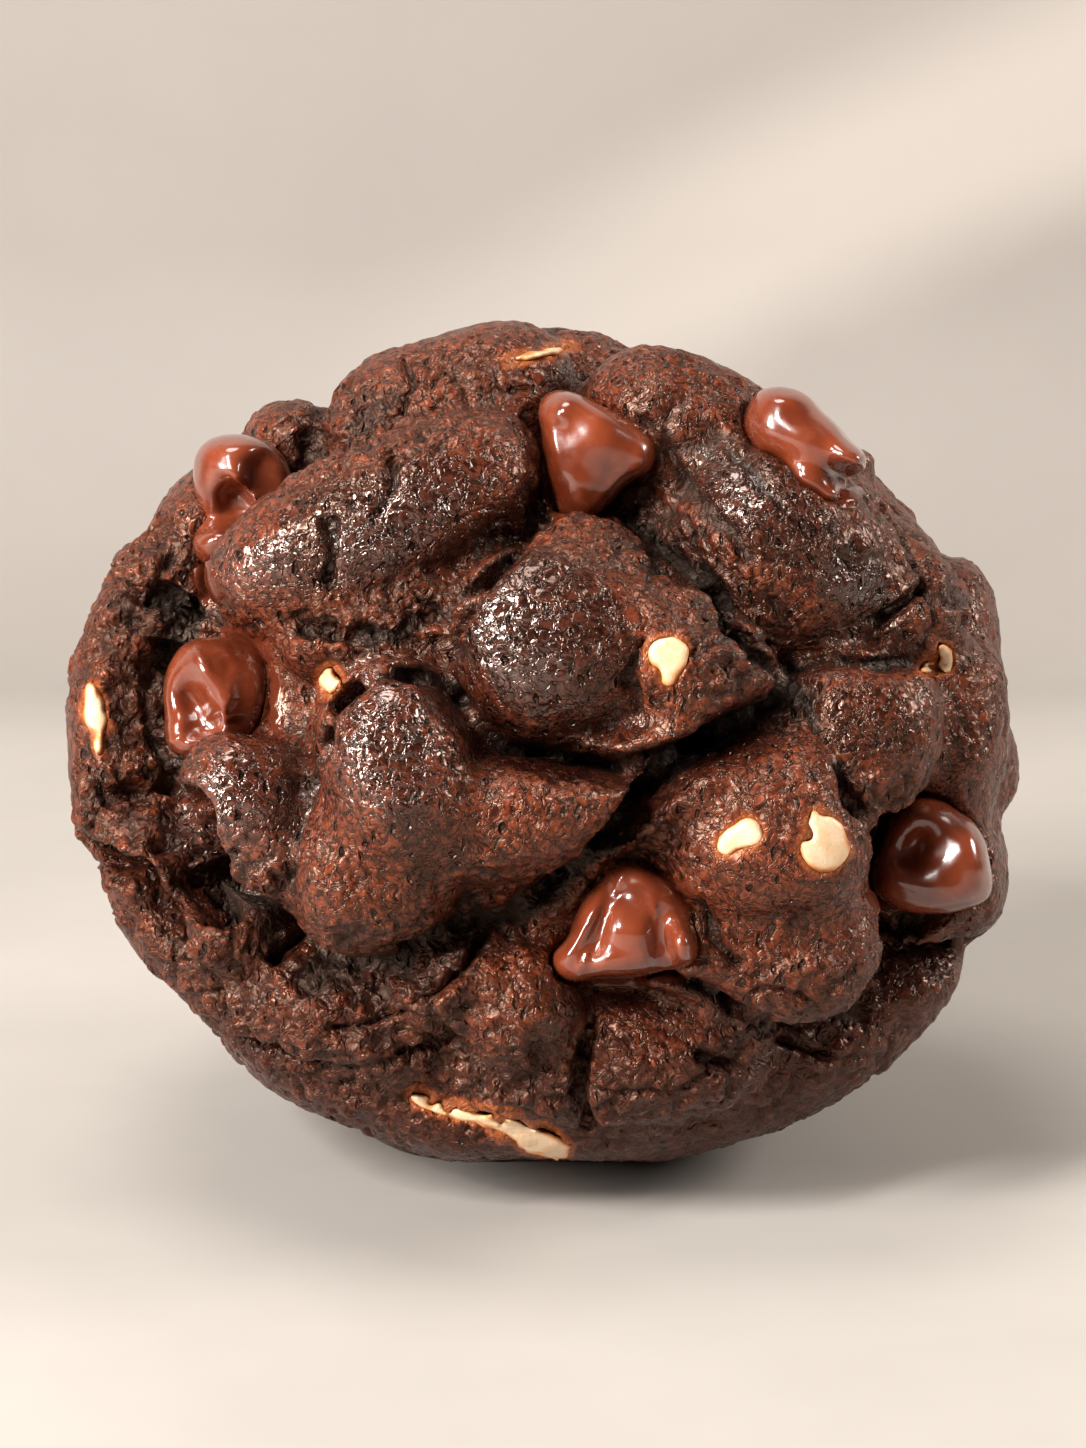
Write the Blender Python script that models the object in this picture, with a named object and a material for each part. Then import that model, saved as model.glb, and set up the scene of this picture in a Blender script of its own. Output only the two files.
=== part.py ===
"""Lava cookie: a thick chocolate cookie that has swollen into folded, overlapping lobes of dough,
with melted milk chocolate chips and toasted pieces of white chocolate pressed into it.

The dough is one solid. Each chip and each white piece is a solid of its own, seated in a pocket
in the dough. The lobes that face the front are laid out on a front-view sheet, 958 units wide
across the cookie, and pushed back until they lie on a guide ellipsoid; the lobes behind and
below follow a rule. Model units are metres; all sizes below are millimetres.
"""

import math

import bmesh
import bpy
import numpy as np

# ---------------------------------------------------------------- driving sizes, mm
WIDTH = 90.0  # side to side, in front view
SPAN = 958.0  # the same width on the front-view sheet
UNIT = WIDTH / SPAN
SHEET_MIDDLE = (543.5, 742.0)  # point of the sheet that lies on the cookie's middle
VIEW_TILT = math.radians(12.0)  # the front view looks down by this much
VIEW_RANGE = 378.0  # and is drawn from this far off

MIDDLE = np.array([0.0, 0.0, 37.8])  # middle of the cookie above the face it rests on
GUIDE = np.array([44.0, 42.5, 38.2])  # ellipsoid that the lobes lie on
CORE = np.array([39.0, 37.6, 33.4])  # solid middle under the lobes
SEAT = ((1.0, 3.0, 2.9), (19.0, 15.5, 5.4))  # swelling at the bottom that gives the flat seat
BELLY = ((1.0, 0.0, 13.4), (33.0, 31.0, 12.2))  # rounds the sides into the seat
SEAT_LEVEL = 0.0  # the seat is cut flat here

LOBE_POWER = 2.5  # over 2: steeper sides than an ellipsoid
LOBE_BLEND = 1.5  # radius of the fold between two lobes
RELIEF = ((11.0, 0.55), (5.2, 0.30))  # wavelength and depth of the uneven crust
CHIP_BLEND = 2.0
GAP = 0.34  # clearance between a chip and its pocket

DOUGH_PITCH = 1.0  # spacing of the lattice that the dough is drawn from
DOUGH_FACES = 4400
CHIP_FACES = 180
WHITE_FACES = 60

MM = 0.001

# ---------------------------------------------------------------- front-view frame
RIGHT = np.array([1.0, 0.0, 0.0])
UP = np.array([0.0, math.sin(VIEW_TILT), math.cos(VIEW_TILT)])
AHEAD = np.array([0.0, math.cos(VIEW_TILT), -math.sin(VIEW_TILT)])
EYE = MIDDLE - VIEW_RANGE * AHEAD

# name, x, y, half width, half height, roll in degrees, half thickness, stand-out in mm
FRONT_LOBES = (
    ("back_top", 530, 358, 85, 32, 2, 120, -9.0),
    ("crown", 455, 408, 122, 79, 14, 110, 0.6),
    ("crown_left", 392, 436, 63, 60, 35, 90, 0.2),
    ("brow_left", 385, 520, 172, 80, 27, 105, 3.2),
    ("brow_left_end", 275, 568, 62, 50, 25, 70, 2.6),
    ("shelf", 375, 625, 105, 52, 10, 80, -1.6),
    ("nose", 545, 640, 90, 100, 12, 100, 3.4),
    ("nose_top", 592, 564, 58, 48, -25, 80, 1.2),
    ("nose_wing", 662, 662, 110, 70, -24, 95, 3.4),
    ("cheek", 402, 768, 86, 104, 18, 100, 5.0),
    ("cheek_low", 375, 868, 86, 84, 8, 100, 4.6),
    ("cheek_roll", 520, 812, 135, 78, 14, 100, 4.4),
    ("cheek_end", 655, 765, 82, 48, 32, 80, 2.4),
    ("left_knob", 247, 800, 67, 67, -15, 80, 3.4),
    ("left_knob_low", 268, 868, 42, 42, 0, 60, 2.4),
    ("brow_right", 688, 448, 117, 86, -28, 110, 2.2),
    ("brow_right_mid", 775, 548, 116, 98, -38, 110, 3.6),
    ("brow_right_end", 890, 598, 82, 62, -32, 90, 3.2),
    ("brow_right_up", 828, 503, 82, 46, -45, 90, 0.6),
    ("right_cheek", 852, 728, 75, 74, -10, 90, 2.4),
    ("right_side", 952, 730, 60, 95, -5, 110, 0.6),
    ("jowl", 772, 830, 108, 98, 0, 105, 3.8),
    ("jowl_low", 785, 942, 102, 77, 4, 100, 4.2),
    ("jowl_left", 690, 945, 58, 48, -10, 70, 0.6),
    ("side_low", 940, 855, 66, 94, 12, 100, 0.0),
    ("fold_a", 445, 975, 55, 44, 50, 70, 2.0),
    ("fold_b", 520, 1000, 62, 66, 25, 80, 2.4),
    ("chin_left", 232, 974, 118, 56, -42, 100, 0.6),
    ("chin_mid", 345, 1015, 110, 55, -18, 95, 1.2),
    ("chin", 610, 1050, 165, 78, 2, 110, 1.6),
    ("chin_right", 795, 1046, 128, 62, 24, 100, 0.2),
    ("chin_side", 890, 958, 66, 76, 50, 95, -0.3),
    ("base_left", 385, 1080, 138, 52, -22, 110, -1.0),
    ("base", 560, 1108, 150, 50, 0, 110, -0.6),
    ("base_right", 735, 1088, 118, 45, 18, 110, -1.6),
    ("flank_a", 152, 618, 62, 86, -20, 100, 0.0),
    ("flank_b", 120, 715, 53, 90, 0, 100, 0.4),
    ("flank_c", 128, 800, 54, 62, 0, 90, 0.4),
    ("flank_d", 162, 868, 60, 50, -15, 80, 1.4),
    ("flank_e", 235, 925, 58, 46, 20, 70, 2.0),
    ("flank_low", 168, 915, 50, 62, 35, 90, -1.0),
    ("shoulder_back", 294, 450, 46, 50, 0, 80, -6.0),
    ("shoulder", 212, 524, 57, 54, 45, 90, -2.0),
    ("edge_right", 962, 640, 40, 84, 8, 110, -3.0),
    ("edge_bump", 992, 765, 27, 44, 0, 60, -3.0),
    ("back_right_a", 702, 402, 64, 36, -32, 100, -9.0),
    ("back_right_b", 854, 470, 20, 22, 0, 30, -6.0),
    ("back_right_c", 890, 562, 44, 48, -40, 100, -7.0),
)

# Valleys between the lobes, drawn on the same sheet and cut towards the middle.
# name, half width in mm, depth in mm, points
VALLEYS = (
    ("brow_to_nose", 1.9, 6.5, ((606, 500), (650, 548), (690, 594), (716, 632), (742, 660), (774, 690))),
    ("nose_to_jowl", 2.6, 8.5, ((780, 690), (750, 724), (704, 758), (657, 800), (608, 848), (556, 884), (510, 914))),
    ("under_cheek", 1.7, 5.5, ((284, 924), (330, 950), (390, 960), (440, 938), (505, 916))),
    ("cheek_to_knob", 1.1, 4.0, ((326, 736), (304, 790), (294, 850), (286, 900), (286, 926))),
    ("nose_to_cheek", 1.4, 4.0, ((338, 698), (382, 668), (440, 676), (468, 712), (504, 746), (560, 756), (632, 770), (702, 744), (764, 702))),
    ("under_brow", 1.3, 4.2, ((296, 622), (350, 630), (404, 636), (442, 604), (482, 578), (512, 548), (536, 516))),
    ("jowl_to_cheek", 1.4, 5.0, ((786, 680), (802, 706), (830, 748), (856, 792), (876, 838), (880, 880))),
    ("brow_to_cheek", 1.3, 4.0, ((786, 668), (830, 656), (880, 660), (936, 664))),
    ("under_jowl", 1.6, 5.0, ((640, 966), (690, 986), (742, 1010), (800, 1024), (852, 1006), (886, 964), (894, 926))),
    ("knob_left", 2.0, 6.5, ((166, 778), (182, 812), (196, 850), (216, 886), (248, 906), (286, 926))),
    ("flank_inner", 1.6, 4.0, ((224, 560), (196, 600), (160, 636), (146, 700), (152, 744), (168, 782))),
    ("flank_low", 1.3, 3.0, ((92, 846), (128, 876), (150, 912), (178, 948))),
    ("chin_shelf", 1.3, 2.2, ((128, 952), (184, 1010), (242, 1046), (322, 1064), (402, 1052), (452, 1030))),
    ("side_fold", 1.3, 3.0, ((860, 990), (904, 986), (930, 966), (962, 938))),
)
VALLEY_RIM = 1.7  # radius of the rounding where a valley opens
VALLEY_WOBBLE = (4.5, 0.45)  # wavelength and size of the wander in a valley's sides

# The lobes that the front view hides: centres run in a spiral over the rest of the guide.
REAR_LOBES = 58  # steps of the spiral over the whole guide; the front ones are skipped
REAR_SIZE = (9.5, 15.5)  # half sizes along the surface
REAR_THICKNESS = (8.0, 10.0)
REAR_STAND_OUT = (-1.0, 2.0)
REAR_SHAKE = 0.16
REAR_FOLD = (1.9, 6.0)  # half width and depth of the folds between them
REAR_FROM = 0.02  # cosine between a rear lobe's direction and the way to the viewer
SEED = 41

# Milk chocolate chips: each is a few blended lumps, or hollows where the last value is -1.
# dx, dy, half width, half height, roll, half thickness in mm, stand-out in mm, sign
CHIPS = {
    "chip_crown": ((596, 452), (
        (-6, 4, 34, 38, 0, 5.2, 5.6, 1),
        (-34, 0, 17, 56, 12, 4.6, 4.8, 1),
        (-32, 42, 17, 15, 20, 4.0, 5.0, 1),
        (4, 26, 56, 18, -28, 4.8, 5.0, 1),
        (46, -4, 15, 15, 0, 4.2, 4.6, 1),
        (12, -28, 46, 17, 45, 4.6, 4.8, 1),
        (-18, -54, 14, 14, 0, 3.8, 4.0, 1),
    )),
    "chip_shoulder": ((799, 443), (
        (-22, 20, 32, 33, -38, 5.4, 6.2, 1),
        (6, 2, 40, 35, -38, 5.6, 7.2, 1),
        (38, -16, 22, 17, -30, 4.6, 7.4, 1),
        (12, -34, 28, 20, -25, 4.8, 7.4, 1),
        (33, -44, 11, 12, 0, 3.6, 7.0, 1),
    )),
    "chip_curl": ((243, 492), (
        (2, 22, 42, 30, 8, 5.2, 4.6, 1),
        (-18, -6, 25, 40, 5, 5.2, 4.8, 1),
        (16, -4, 22, 34, 12, 4.6, 3.4, 1),
        (-18, -42, 23, 18, 10, 4.6, 4.6, 1),
        (12, -14, 10, 15, 30, 3.0, 5.6, -1),
    )),
    "chip_left": ((216, 697), (
        (4, 22, 47, 40, 0, 5.4, 5.6, 1),
        (-6, -6, 45, 43, 10, 5.4, 5.8, 1),
        (-24, -38, 22, 20, 0, 4.8, 5.4, 1),
        (28, -6, 24, 44, -14, 4.8, 4.6, 1),
    )),
    "chip_low": ((630, 922), (
        (2, 2, 48, 42, 0, 5.4, 5.4, 1),
        (-42, 4, 54, 19, 64, 4.8, 5.0, 1),
        (24, 30, 50, 21, -34, 4.8, 4.6, 1),
        (-12, -34, 56, 19, 3, 4.8, 4.8, 1),
        (52, -14, 18, 25, 10, 4.6, 5.2, 1),
    )),
    "chip_right": ((930, 854), (
        (0, -2, 54, 48, -6, 5.4, 5.2, 1),
        (0, 30, 31, 28, -10, 4.8, 4.6, 1),
        (0, -32, 54, 25, 0, 5.2, 5.0, 1),
        (-14, 10, 20, 17, 30, 4.2, 8.6, -1),
    )),
}

# White chocolate pieces, nearly flush with the dough.
# x, y, half width, half height, roll, half thickness in mm, stand-out in mm
WHITES = {
    "white_flank": (97, 718, 15, 33, 4, 3.4, 0.9),
    "white_bead": (330, 678, 13, 15, 0, 2.8, 1.3),
    "white_nose": (671, 657, 25, 26, 0, 2.8, 0.6),
    "white_side": (941, 661, 20, 17, 10, 3.4, 1.6),
    "white_jowl_a": (742, 838, 27, 25, 10, 2.8, 0.6),
    "white_jowl_b": (824, 842, 25, 33, 12, 2.8, 0.8),
    "white_base": (494, 1126, 84, 20, -22, 3.2, 0.9),
    "white_top": (540, 351, 27, 9, 8, 3.4, 0.8),
}

# Chips and white pieces on the sides that the front view hides, by compass angle from the
# front and height angle, in degrees: half sizes along the surface, roll, thickness, stand-out.
REAR_CHIPS = {
    "chip_back_a": (158, 34, 5.4, 4.8, 25, 5.0, 3.2),
    "chip_back_b": (206, -8, 5.0, 5.6, -30, 5.0, 3.0),
    "chip_back_c": (243, 30, 5.6, 4.6, 60, 4.8, 2.8),
    "chip_back_d": (118, -6, 4.9, 5.3, 10, 4.8, 2.8),
}
REAR_WHITES = {
    "white_back_a": (178, 6, 2.6, 3.4, 20, 2.8, 0.7),
    "white_back_b": (234, -18, 4.4, 2.0, 15, 3.0, 1.0),
    "white_back_c": (142, -28, 2.4, 2.2, 0, 2.8, 0.7),
}


# ---------------------------------------------------------------- fields
LATTICE = np.random.default_rng(SEED).uniform(-1.0, 1.0, (16, 16, 16))


def noise(points, wavelength, shift=0.0):
    """Smooth noise in -1..1, on a repeating lattice with one value every `wavelength` mm."""
    at = points / wavelength + shift
    cell = np.floor(at).astype(int)
    part = at - cell
    part = part * part * (3.0 - 2.0 * part)
    total = np.zeros(len(points))
    for corner in range(8):
        step = np.array([corner & 1, corner >> 1 & 1, corner >> 2])
        weight = np.where(step, part, 1.0 - part).prod(axis=1)
        i, j, k = ((cell + step) % 16).T
        total += weight * LATTICE[i, j, k]
    return total


class Lump:
    """A rounded mass: centre, three unit axes as rows, a half size along each."""

    def __init__(self, centre, axes, radii, power=2.0, blend=LOBE_BLEND, sign=1):
        self.centre = np.asarray(centre, float)
        self.axes = np.asarray(axes, float)
        self.radii = np.asarray(radii, float)
        self.power, self.blend, self.sign = power, blend, sign

    def distance(self, points):
        local = np.abs((points - self.centre) @ self.axes.T) / self.radii + 1e-9
        p = self.power
        size = (local**p).sum(axis=1) ** (1.0 / p)
        slope = size ** (1.0 - p) * np.sqrt(((local ** (p - 1.0) / self.radii) ** 2).sum(axis=1))
        return (size - 1.0) / slope

    def shell(self, subdivisions=3):
        """Points and faces of the lump's own surface."""
        mesh = bmesh.new()
        bmesh.ops.create_icosphere(mesh, subdivisions=subdivisions, radius=1.0)
        unit = np.array([vertex.co[:] for vertex in mesh.verts])
        faces = [[vertex.index for vertex in face.verts] for face in mesh.faces]
        mesh.free()
        unit /= ((np.abs(unit) ** self.power).sum(axis=1) ** (1.0 / self.power))[:, None]
        return self.centre + (unit * self.radii) @ self.axes, faces


def blended(points, lumps):
    """Signed distance to the lumps, joined, or hollowed where a lump's sign is -1."""
    total = lumps[0].distance(points)
    for lump in lumps[1:]:
        reach = lump.radii.max() * 1.25 + 2.0 * lump.blend
        near = np.nonzero((np.abs(points - lump.centre) < reach).all(axis=1))[0]
        if not len(near):
            continue
        one, old = lump.distance(points[near]), total[near]
        if lump.sign > 0:
            mix = np.maximum(lump.blend - np.abs(old - one), 0.0) / lump.blend
            total[near] = np.minimum(old, one) - mix * mix * lump.blend / 4.0
        else:
            mix = np.maximum(lump.blend - np.abs(old + one), 0.0) / lump.blend
            total[near] = np.maximum(old, -one) + mix * mix * lump.blend / 4.0
    return total


def settle(points, field, steps=7, reach=0.9):
    """Moves points onto the surface where the field is zero."""
    h = 0.03
    for _ in range(steps):
        value = field(points)
        slope = np.stack([(field(points + h * axis) - value) / h for axis in np.eye(3)], axis=1)
        length = np.maximum((slope**2).sum(axis=1), 0.2)
        points = points - slope * np.clip(value / length, -reach, reach)[:, None]
    return points


# ---------------------------------------------------------------- laying out the lumps
def sight(x, y):
    """Unit direction from the viewer to a point of the front-view sheet."""
    aim = MIDDLE + (x - SHEET_MIDDLE[0]) * UNIT * RIGHT + (SHEET_MIDDLE[1] - y) * UNIT * UP
    line = aim - EYE
    return line / np.linalg.norm(line)


def guide_range(x, y):
    """How far from the viewer the guide ellipsoid lies, or its edge if the line passes it."""
    line = sight(x, y)
    start = (EYE - MIDDLE) / GUIDE
    way = line / GUIDE
    a, b, c = way @ way, start @ way, start @ start - 1.0
    return (-b - math.sqrt(max(b * b - a * c, 0.0))) / a


def sheet_axes(line, roll):
    """Axes across, up and towards the viewer, turned by roll degrees."""
    across = RIGHT - (RIGHT @ line) * line
    across /= np.linalg.norm(across)
    up = np.cross(across, line)
    turn = math.radians(roll)
    return np.array([
        across * math.cos(turn) + up * math.sin(turn),
        -across * math.sin(turn) + up * math.cos(turn),
        -line,
    ])


def front_lump(x, y, half_w, half_h, roll, thickness, range_to_skin, stand_out, **shape):
    line = sight(x, y)
    centre = EYE + line * (range_to_skin + thickness - stand_out)
    scale = UNIT * ((centre - EYE) @ AHEAD) / VIEW_RANGE
    return Lump(centre, sheet_axes(line, roll), (half_w * scale, half_h * scale, thickness), **shape)


def surface_axes(direction, roll):
    """Two axes along the guide's surface and one out of it."""
    out = direction / GUIDE
    out /= np.linalg.norm(out)
    side = np.cross([0.0, 0.0, 1.0], out)
    side = side / np.linalg.norm(side) if np.linalg.norm(side) > 1e-3 else RIGHT
    up = np.cross(out, side)
    turn = math.radians(roll)
    return np.array([
        side * math.cos(turn) + up * math.sin(turn),
        -side * math.sin(turn) + up * math.cos(turn),
        out,
    ])


def rear_lump(direction, half_a, half_b, roll, thickness, stand_out, skin=None, **shape):
    axes = surface_axes(direction, roll)
    point = MIDDLE + direction * GUIDE if skin is None else skin
    return Lump(point + axes[2] * (stand_out - thickness), axes, (half_a, half_b, thickness), **shape)


def dough_lumps():
    lumps = [
        Lump(MIDDLE, np.eye(3), CORE),
        Lump(BELLY[0], np.eye(3), BELLY[1], power=2.0, blend=3.0),
        Lump(SEAT[0], np.eye(3), SEAT[1], power=2.2, blend=5.0),
    ]
    for _, x, y, half_w, half_h, roll, thickness, stand_out in FRONT_LOBES:
        lumps.append(front_lump(
            x, y, half_w, half_h, roll, thickness * UNIT, guide_range(x, y), stand_out, power=LOBE_POWER,
        ))
    chance = np.random.default_rng(SEED)
    for direction in REAR_WAYS:
        facing = -direction @ AHEAD
        sizes = chance.uniform(*REAR_SIZE, 2)
        thickness = chance.uniform(*REAR_THICKNESS)
        stand_out = chance.uniform(*REAR_STAND_OUT) - 3.0 * max(0.0, 1.0 - abs(facing) / 0.45)
        roll = chance.uniform(0.0, 180.0)
        if facing < REAR_FROM and direction[2] > -0.86:
            lumps.append(rear_lump(direction, *sizes, roll, thickness, stand_out, power=LOBE_POWER))
    return lumps


def rear_ways():
    """Directions from the middle to the rear lobes: a spiral over the whole guide, shaken."""
    chance = np.random.default_rng(SEED + 1)
    step = np.arange(REAR_LOBES)
    height = 1.0 - 2.0 * (step + 0.5) / REAR_LOBES
    angle = step * math.pi * (3.0 - math.sqrt(5.0))
    flat = np.sqrt(1.0 - height**2)
    ways = np.stack([flat * np.cos(angle), flat * np.sin(angle), height], axis=1)
    ways += chance.uniform(-REAR_SHAKE, REAR_SHAKE, ways.shape)
    return ways / np.linalg.norm(ways, axis=1)[:, None]


REAR_WAYS = rear_ways()
DOUGH = dough_lumps()


def valley_lines():
    """Each valley's points, carried from the sheet to the lobes and from there to the guide."""
    lines = []
    for _, half_width, depth, sheet in VALLEYS:
        on_guide = []
        for x, y in sheet:
            line = sight(x, y)
            near = guide_range(x, y) - 8.0
            steps = np.arange(near, near + 40.0, 0.5)
            inside = np.nonzero(blended(EYE + steps[:, None] * line, DOUGH) < 0.0)[0]
            reach = steps[inside[0]] if len(inside) else near + 8.0
            on_guide.append(to_guide((EYE + line * reach)[None])[0])
        lines.append((half_width, depth, np.array(on_guide)))
    return lines


def to_guide(points):
    """Points carried straight out from, or in to, the guide ellipsoid."""
    away = points - MIDDLE
    return MIDDLE + away / np.sqrt(((away / GUIDE) ** 2).sum(axis=1) + 1e-9)[:, None]


VALLEY_LINES = valley_lines()


def valley_cut(points):
    """Signed distance into the valleys, positive inside: wedges that narrow towards the middle."""
    on_guide = to_guide(points)
    below = np.linalg.norm(on_guide - MIDDLE, axis=1) - np.linalg.norm(points - MIDDLE, axis=1)
    wander = VALLEY_WOBBLE[1] * noise(on_guide, VALLEY_WOBBLE[0], 9.1)
    total = np.full(len(points), -1e3)
    for half_width, depth, line in VALLEY_LINES:
        low, high = line.min(axis=0) - half_width - 2.0, line.max(axis=0) + half_width + 2.0
        near = np.nonzero(((on_guide > low) & (on_guide < high)).all(axis=1) & (below < depth + 5.0))[0]
        if not len(near):
            continue
        local = on_guide[near]
        distance = np.full(len(near), 1e3)
        for a, b in zip(line[:-1], line[1:]):
            along = np.clip((local - a) @ (b - a) / ((b - a) @ (b - a)), 0.0, 1.0)
            distance = np.minimum(distance, np.linalg.norm(local - a - along[:, None] * (b - a), axis=1))
        open_to = half_width * np.minimum((depth + 2.5 - below[near]) / (depth + 2.5), 1.5)
        total[near] = np.maximum(total[near], open_to - distance - wander[near])
    return np.maximum(total, rear_cut(points, on_guide, below))


def rear_cut(points, on_guide, below):
    """Signed distance into the folds behind: wedges half way between two neighbouring lobes."""
    total = np.full(len(points), -1e3)
    facing = -(on_guide - MIDDLE) @ AHEAD / GUIDE[1]
    near = np.nonzero((facing < REAR_FROM + 0.12) & (below < REAR_FOLD[1] + 5.0))[0]
    local = on_guide[near]
    first, second = np.full(len(near), 1e3), np.full(len(near), 1e3)
    for way in REAR_WAYS:
        away = np.linalg.norm(local - (MIDDLE + way * GUIDE), axis=1)
        second = np.minimum(second, np.maximum(first, away))
        first = np.minimum(first, away)
    strength = np.clip(0.75 + 0.9 * noise(local, 17.0, 5.3), 0.0, 1.0)
    strength = strength * np.clip((REAR_FROM + 0.1 - facing[near]) / 0.25, 0.0, 1.0)
    strength = strength * np.clip((local[:, 2] - 8.0) / 6.0, 0.0, 1.0)
    half_width, depth = REAR_FOLD[0] * (0.4 + 0.6 * strength), REAR_FOLD[1] * strength + 0.6
    open_to = half_width * np.minimum((depth - below[near]) / depth, 1.5)
    wander = 0.9 * noise(local, 5.5, 2.2)
    total[near] = open_to - (second - first) / 2.0 - wander - 4.0 * np.clip(0.5 - strength, 0.0, 0.5)
    return total


def dough_field(points):
    total, cut = blended(points, DOUGH), valley_cut(points)
    mix = np.maximum(VALLEY_RIM - np.abs(total - cut), 0.0) / VALLEY_RIM
    total = np.maximum(total, cut) + mix * mix * VALLEY_RIM / 4.0
    for number, (wavelength, depth) in enumerate(RELIEF):
        total = total - depth * noise(points, wavelength, 3.7 * number)
    return total


def skin_along(start, line, near, far):
    """The first point of the dough's skin along a line."""
    steps = np.arange(near, far, 0.25)
    value = dough_field(start + steps[:, None] * line)
    inside = np.nonzero(value < 0.0)[0]
    return steps[inside[0]] if len(inside) else None


def chip_lumps(anchor, parts):
    x, y = anchor
    guess = guide_range(x, y)
    skin = skin_along(EYE, sight(x, y), guess - 12.0, guess + 30.0)
    lumps = []
    for dx, dy, half_w, half_h, roll, thickness, stand_out, sign in parts:
        lumps.append(front_lump(
            x + dx, y - dy, half_w, half_h, roll, thickness, skin, stand_out,
            power=2.15, blend=CHIP_BLEND, sign=sign,
        ))
    return lumps


def white_lumps(x, y, half_w, half_h, roll, thickness, stand_out):
    guess = guide_range(x, y)
    skin = skin_along(EYE, sight(x, y), guess - 12.0, guess + 30.0)
    return [front_lump(x, y, half_w, half_h, roll, thickness, skin, stand_out, power=2.3)]


def rear_piece_lumps(compass, height, half_a, half_b, roll, thickness, stand_out, dollop):
    turn, rise = math.radians(compass), math.radians(height)
    direction = np.array([
        math.sin(turn) * math.cos(rise), -math.cos(turn) * math.cos(rise), math.sin(rise),
    ])
    reach = direction * GUIDE
    far = np.linalg.norm(reach) + 8.0
    line = -reach / np.linalg.norm(reach)
    start = MIDDLE - line * far
    skin = start + line * skin_along(start, line, 0.0, 24.0)
    body = rear_lump(direction, half_a, half_b, roll, thickness, stand_out, skin, power=2.2, blend=CHIP_BLEND)
    if not dollop:
        return [body]
    tip = Lump(
        body.centre + body.axes[0] * half_a * 0.45 + body.axes[1] * half_b * 0.35 + body.axes[2] * 0.8,
        body.axes, (half_a * 0.62, half_b * 0.6, thickness * 0.82), power=2.15, blend=CHIP_BLEND,
    )
    hollow = Lump(
        body.centre + body.axes[0] * -half_a * 0.25 + body.axes[2] * (thickness + 1.4),
        body.axes, (half_a * 0.42, half_b * 0.34, 3.0), power=2.0, blend=CHIP_BLEND, sign=-1,
    )
    return [body, tip, hollow]


# ---------------------------------------------------------------- meshes
def linked(name, mesh):
    obj = bpy.data.objects.new(name, mesh)
    bpy.context.scene.collection.objects.link(obj)
    return obj


def evaluated_copy(obj, name):
    bpy.context.view_layer.update()
    graph = bpy.context.evaluated_depsgraph_get()
    mesh = bpy.data.meshes.new_from_object(obj.evaluated_get(graph))
    mesh.name = name
    return mesh


def points_of(mesh):
    flat = np.empty(len(mesh.vertices) * 3)
    mesh.vertices.foreach_get("co", flat)
    return flat.reshape(-1, 3) / MM


def set_points(mesh, points):
    mesh.vertices.foreach_set("co", (points * MM).ravel())
    mesh.update()


def joined_corners(inside):
    """Whether the corners of a cell that are set hang together along its edges."""
    left = {corner for corner in range(8) if inside >> corner & 1}
    if not left:
        return True
    reached, front = set(), [min(left)]
    while front:
        corner = front.pop()
        reached.add(corner)
        front += [corner ^ bit for bit in (1, 2, 4) if corner ^ bit in left - reached]
    return reached == left


def pinched_cells():
    """Of the 256 ways a cell's corners can lie inside or outside, those whose surface pinches."""
    pinched = np.zeros(256, bool)
    for inside in range(256):
        crossed = False
        for a, b in ((1, 2), (2, 4), (1, 4)):
            for base in (0, 7 - a - b):
                face = [inside >> (base + step) & 1 for step in (0, a, a + b, b)]
                crossed |= face in ([1, 0, 1, 0], [0, 1, 0, 1])
        pinched[inside] = crossed or not joined_corners(inside) or not joined_corners(255 - inside)
    return pinched


CORNERS = [(corner & 1, corner >> 1 & 1, corner >> 2) for corner in range(8)]


def cells_of(values, step):
    """The values at one corner of every cell."""
    return values[tuple(slice(s, values.shape[axis] - 1 + s) for axis, s in enumerate(step))]


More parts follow.
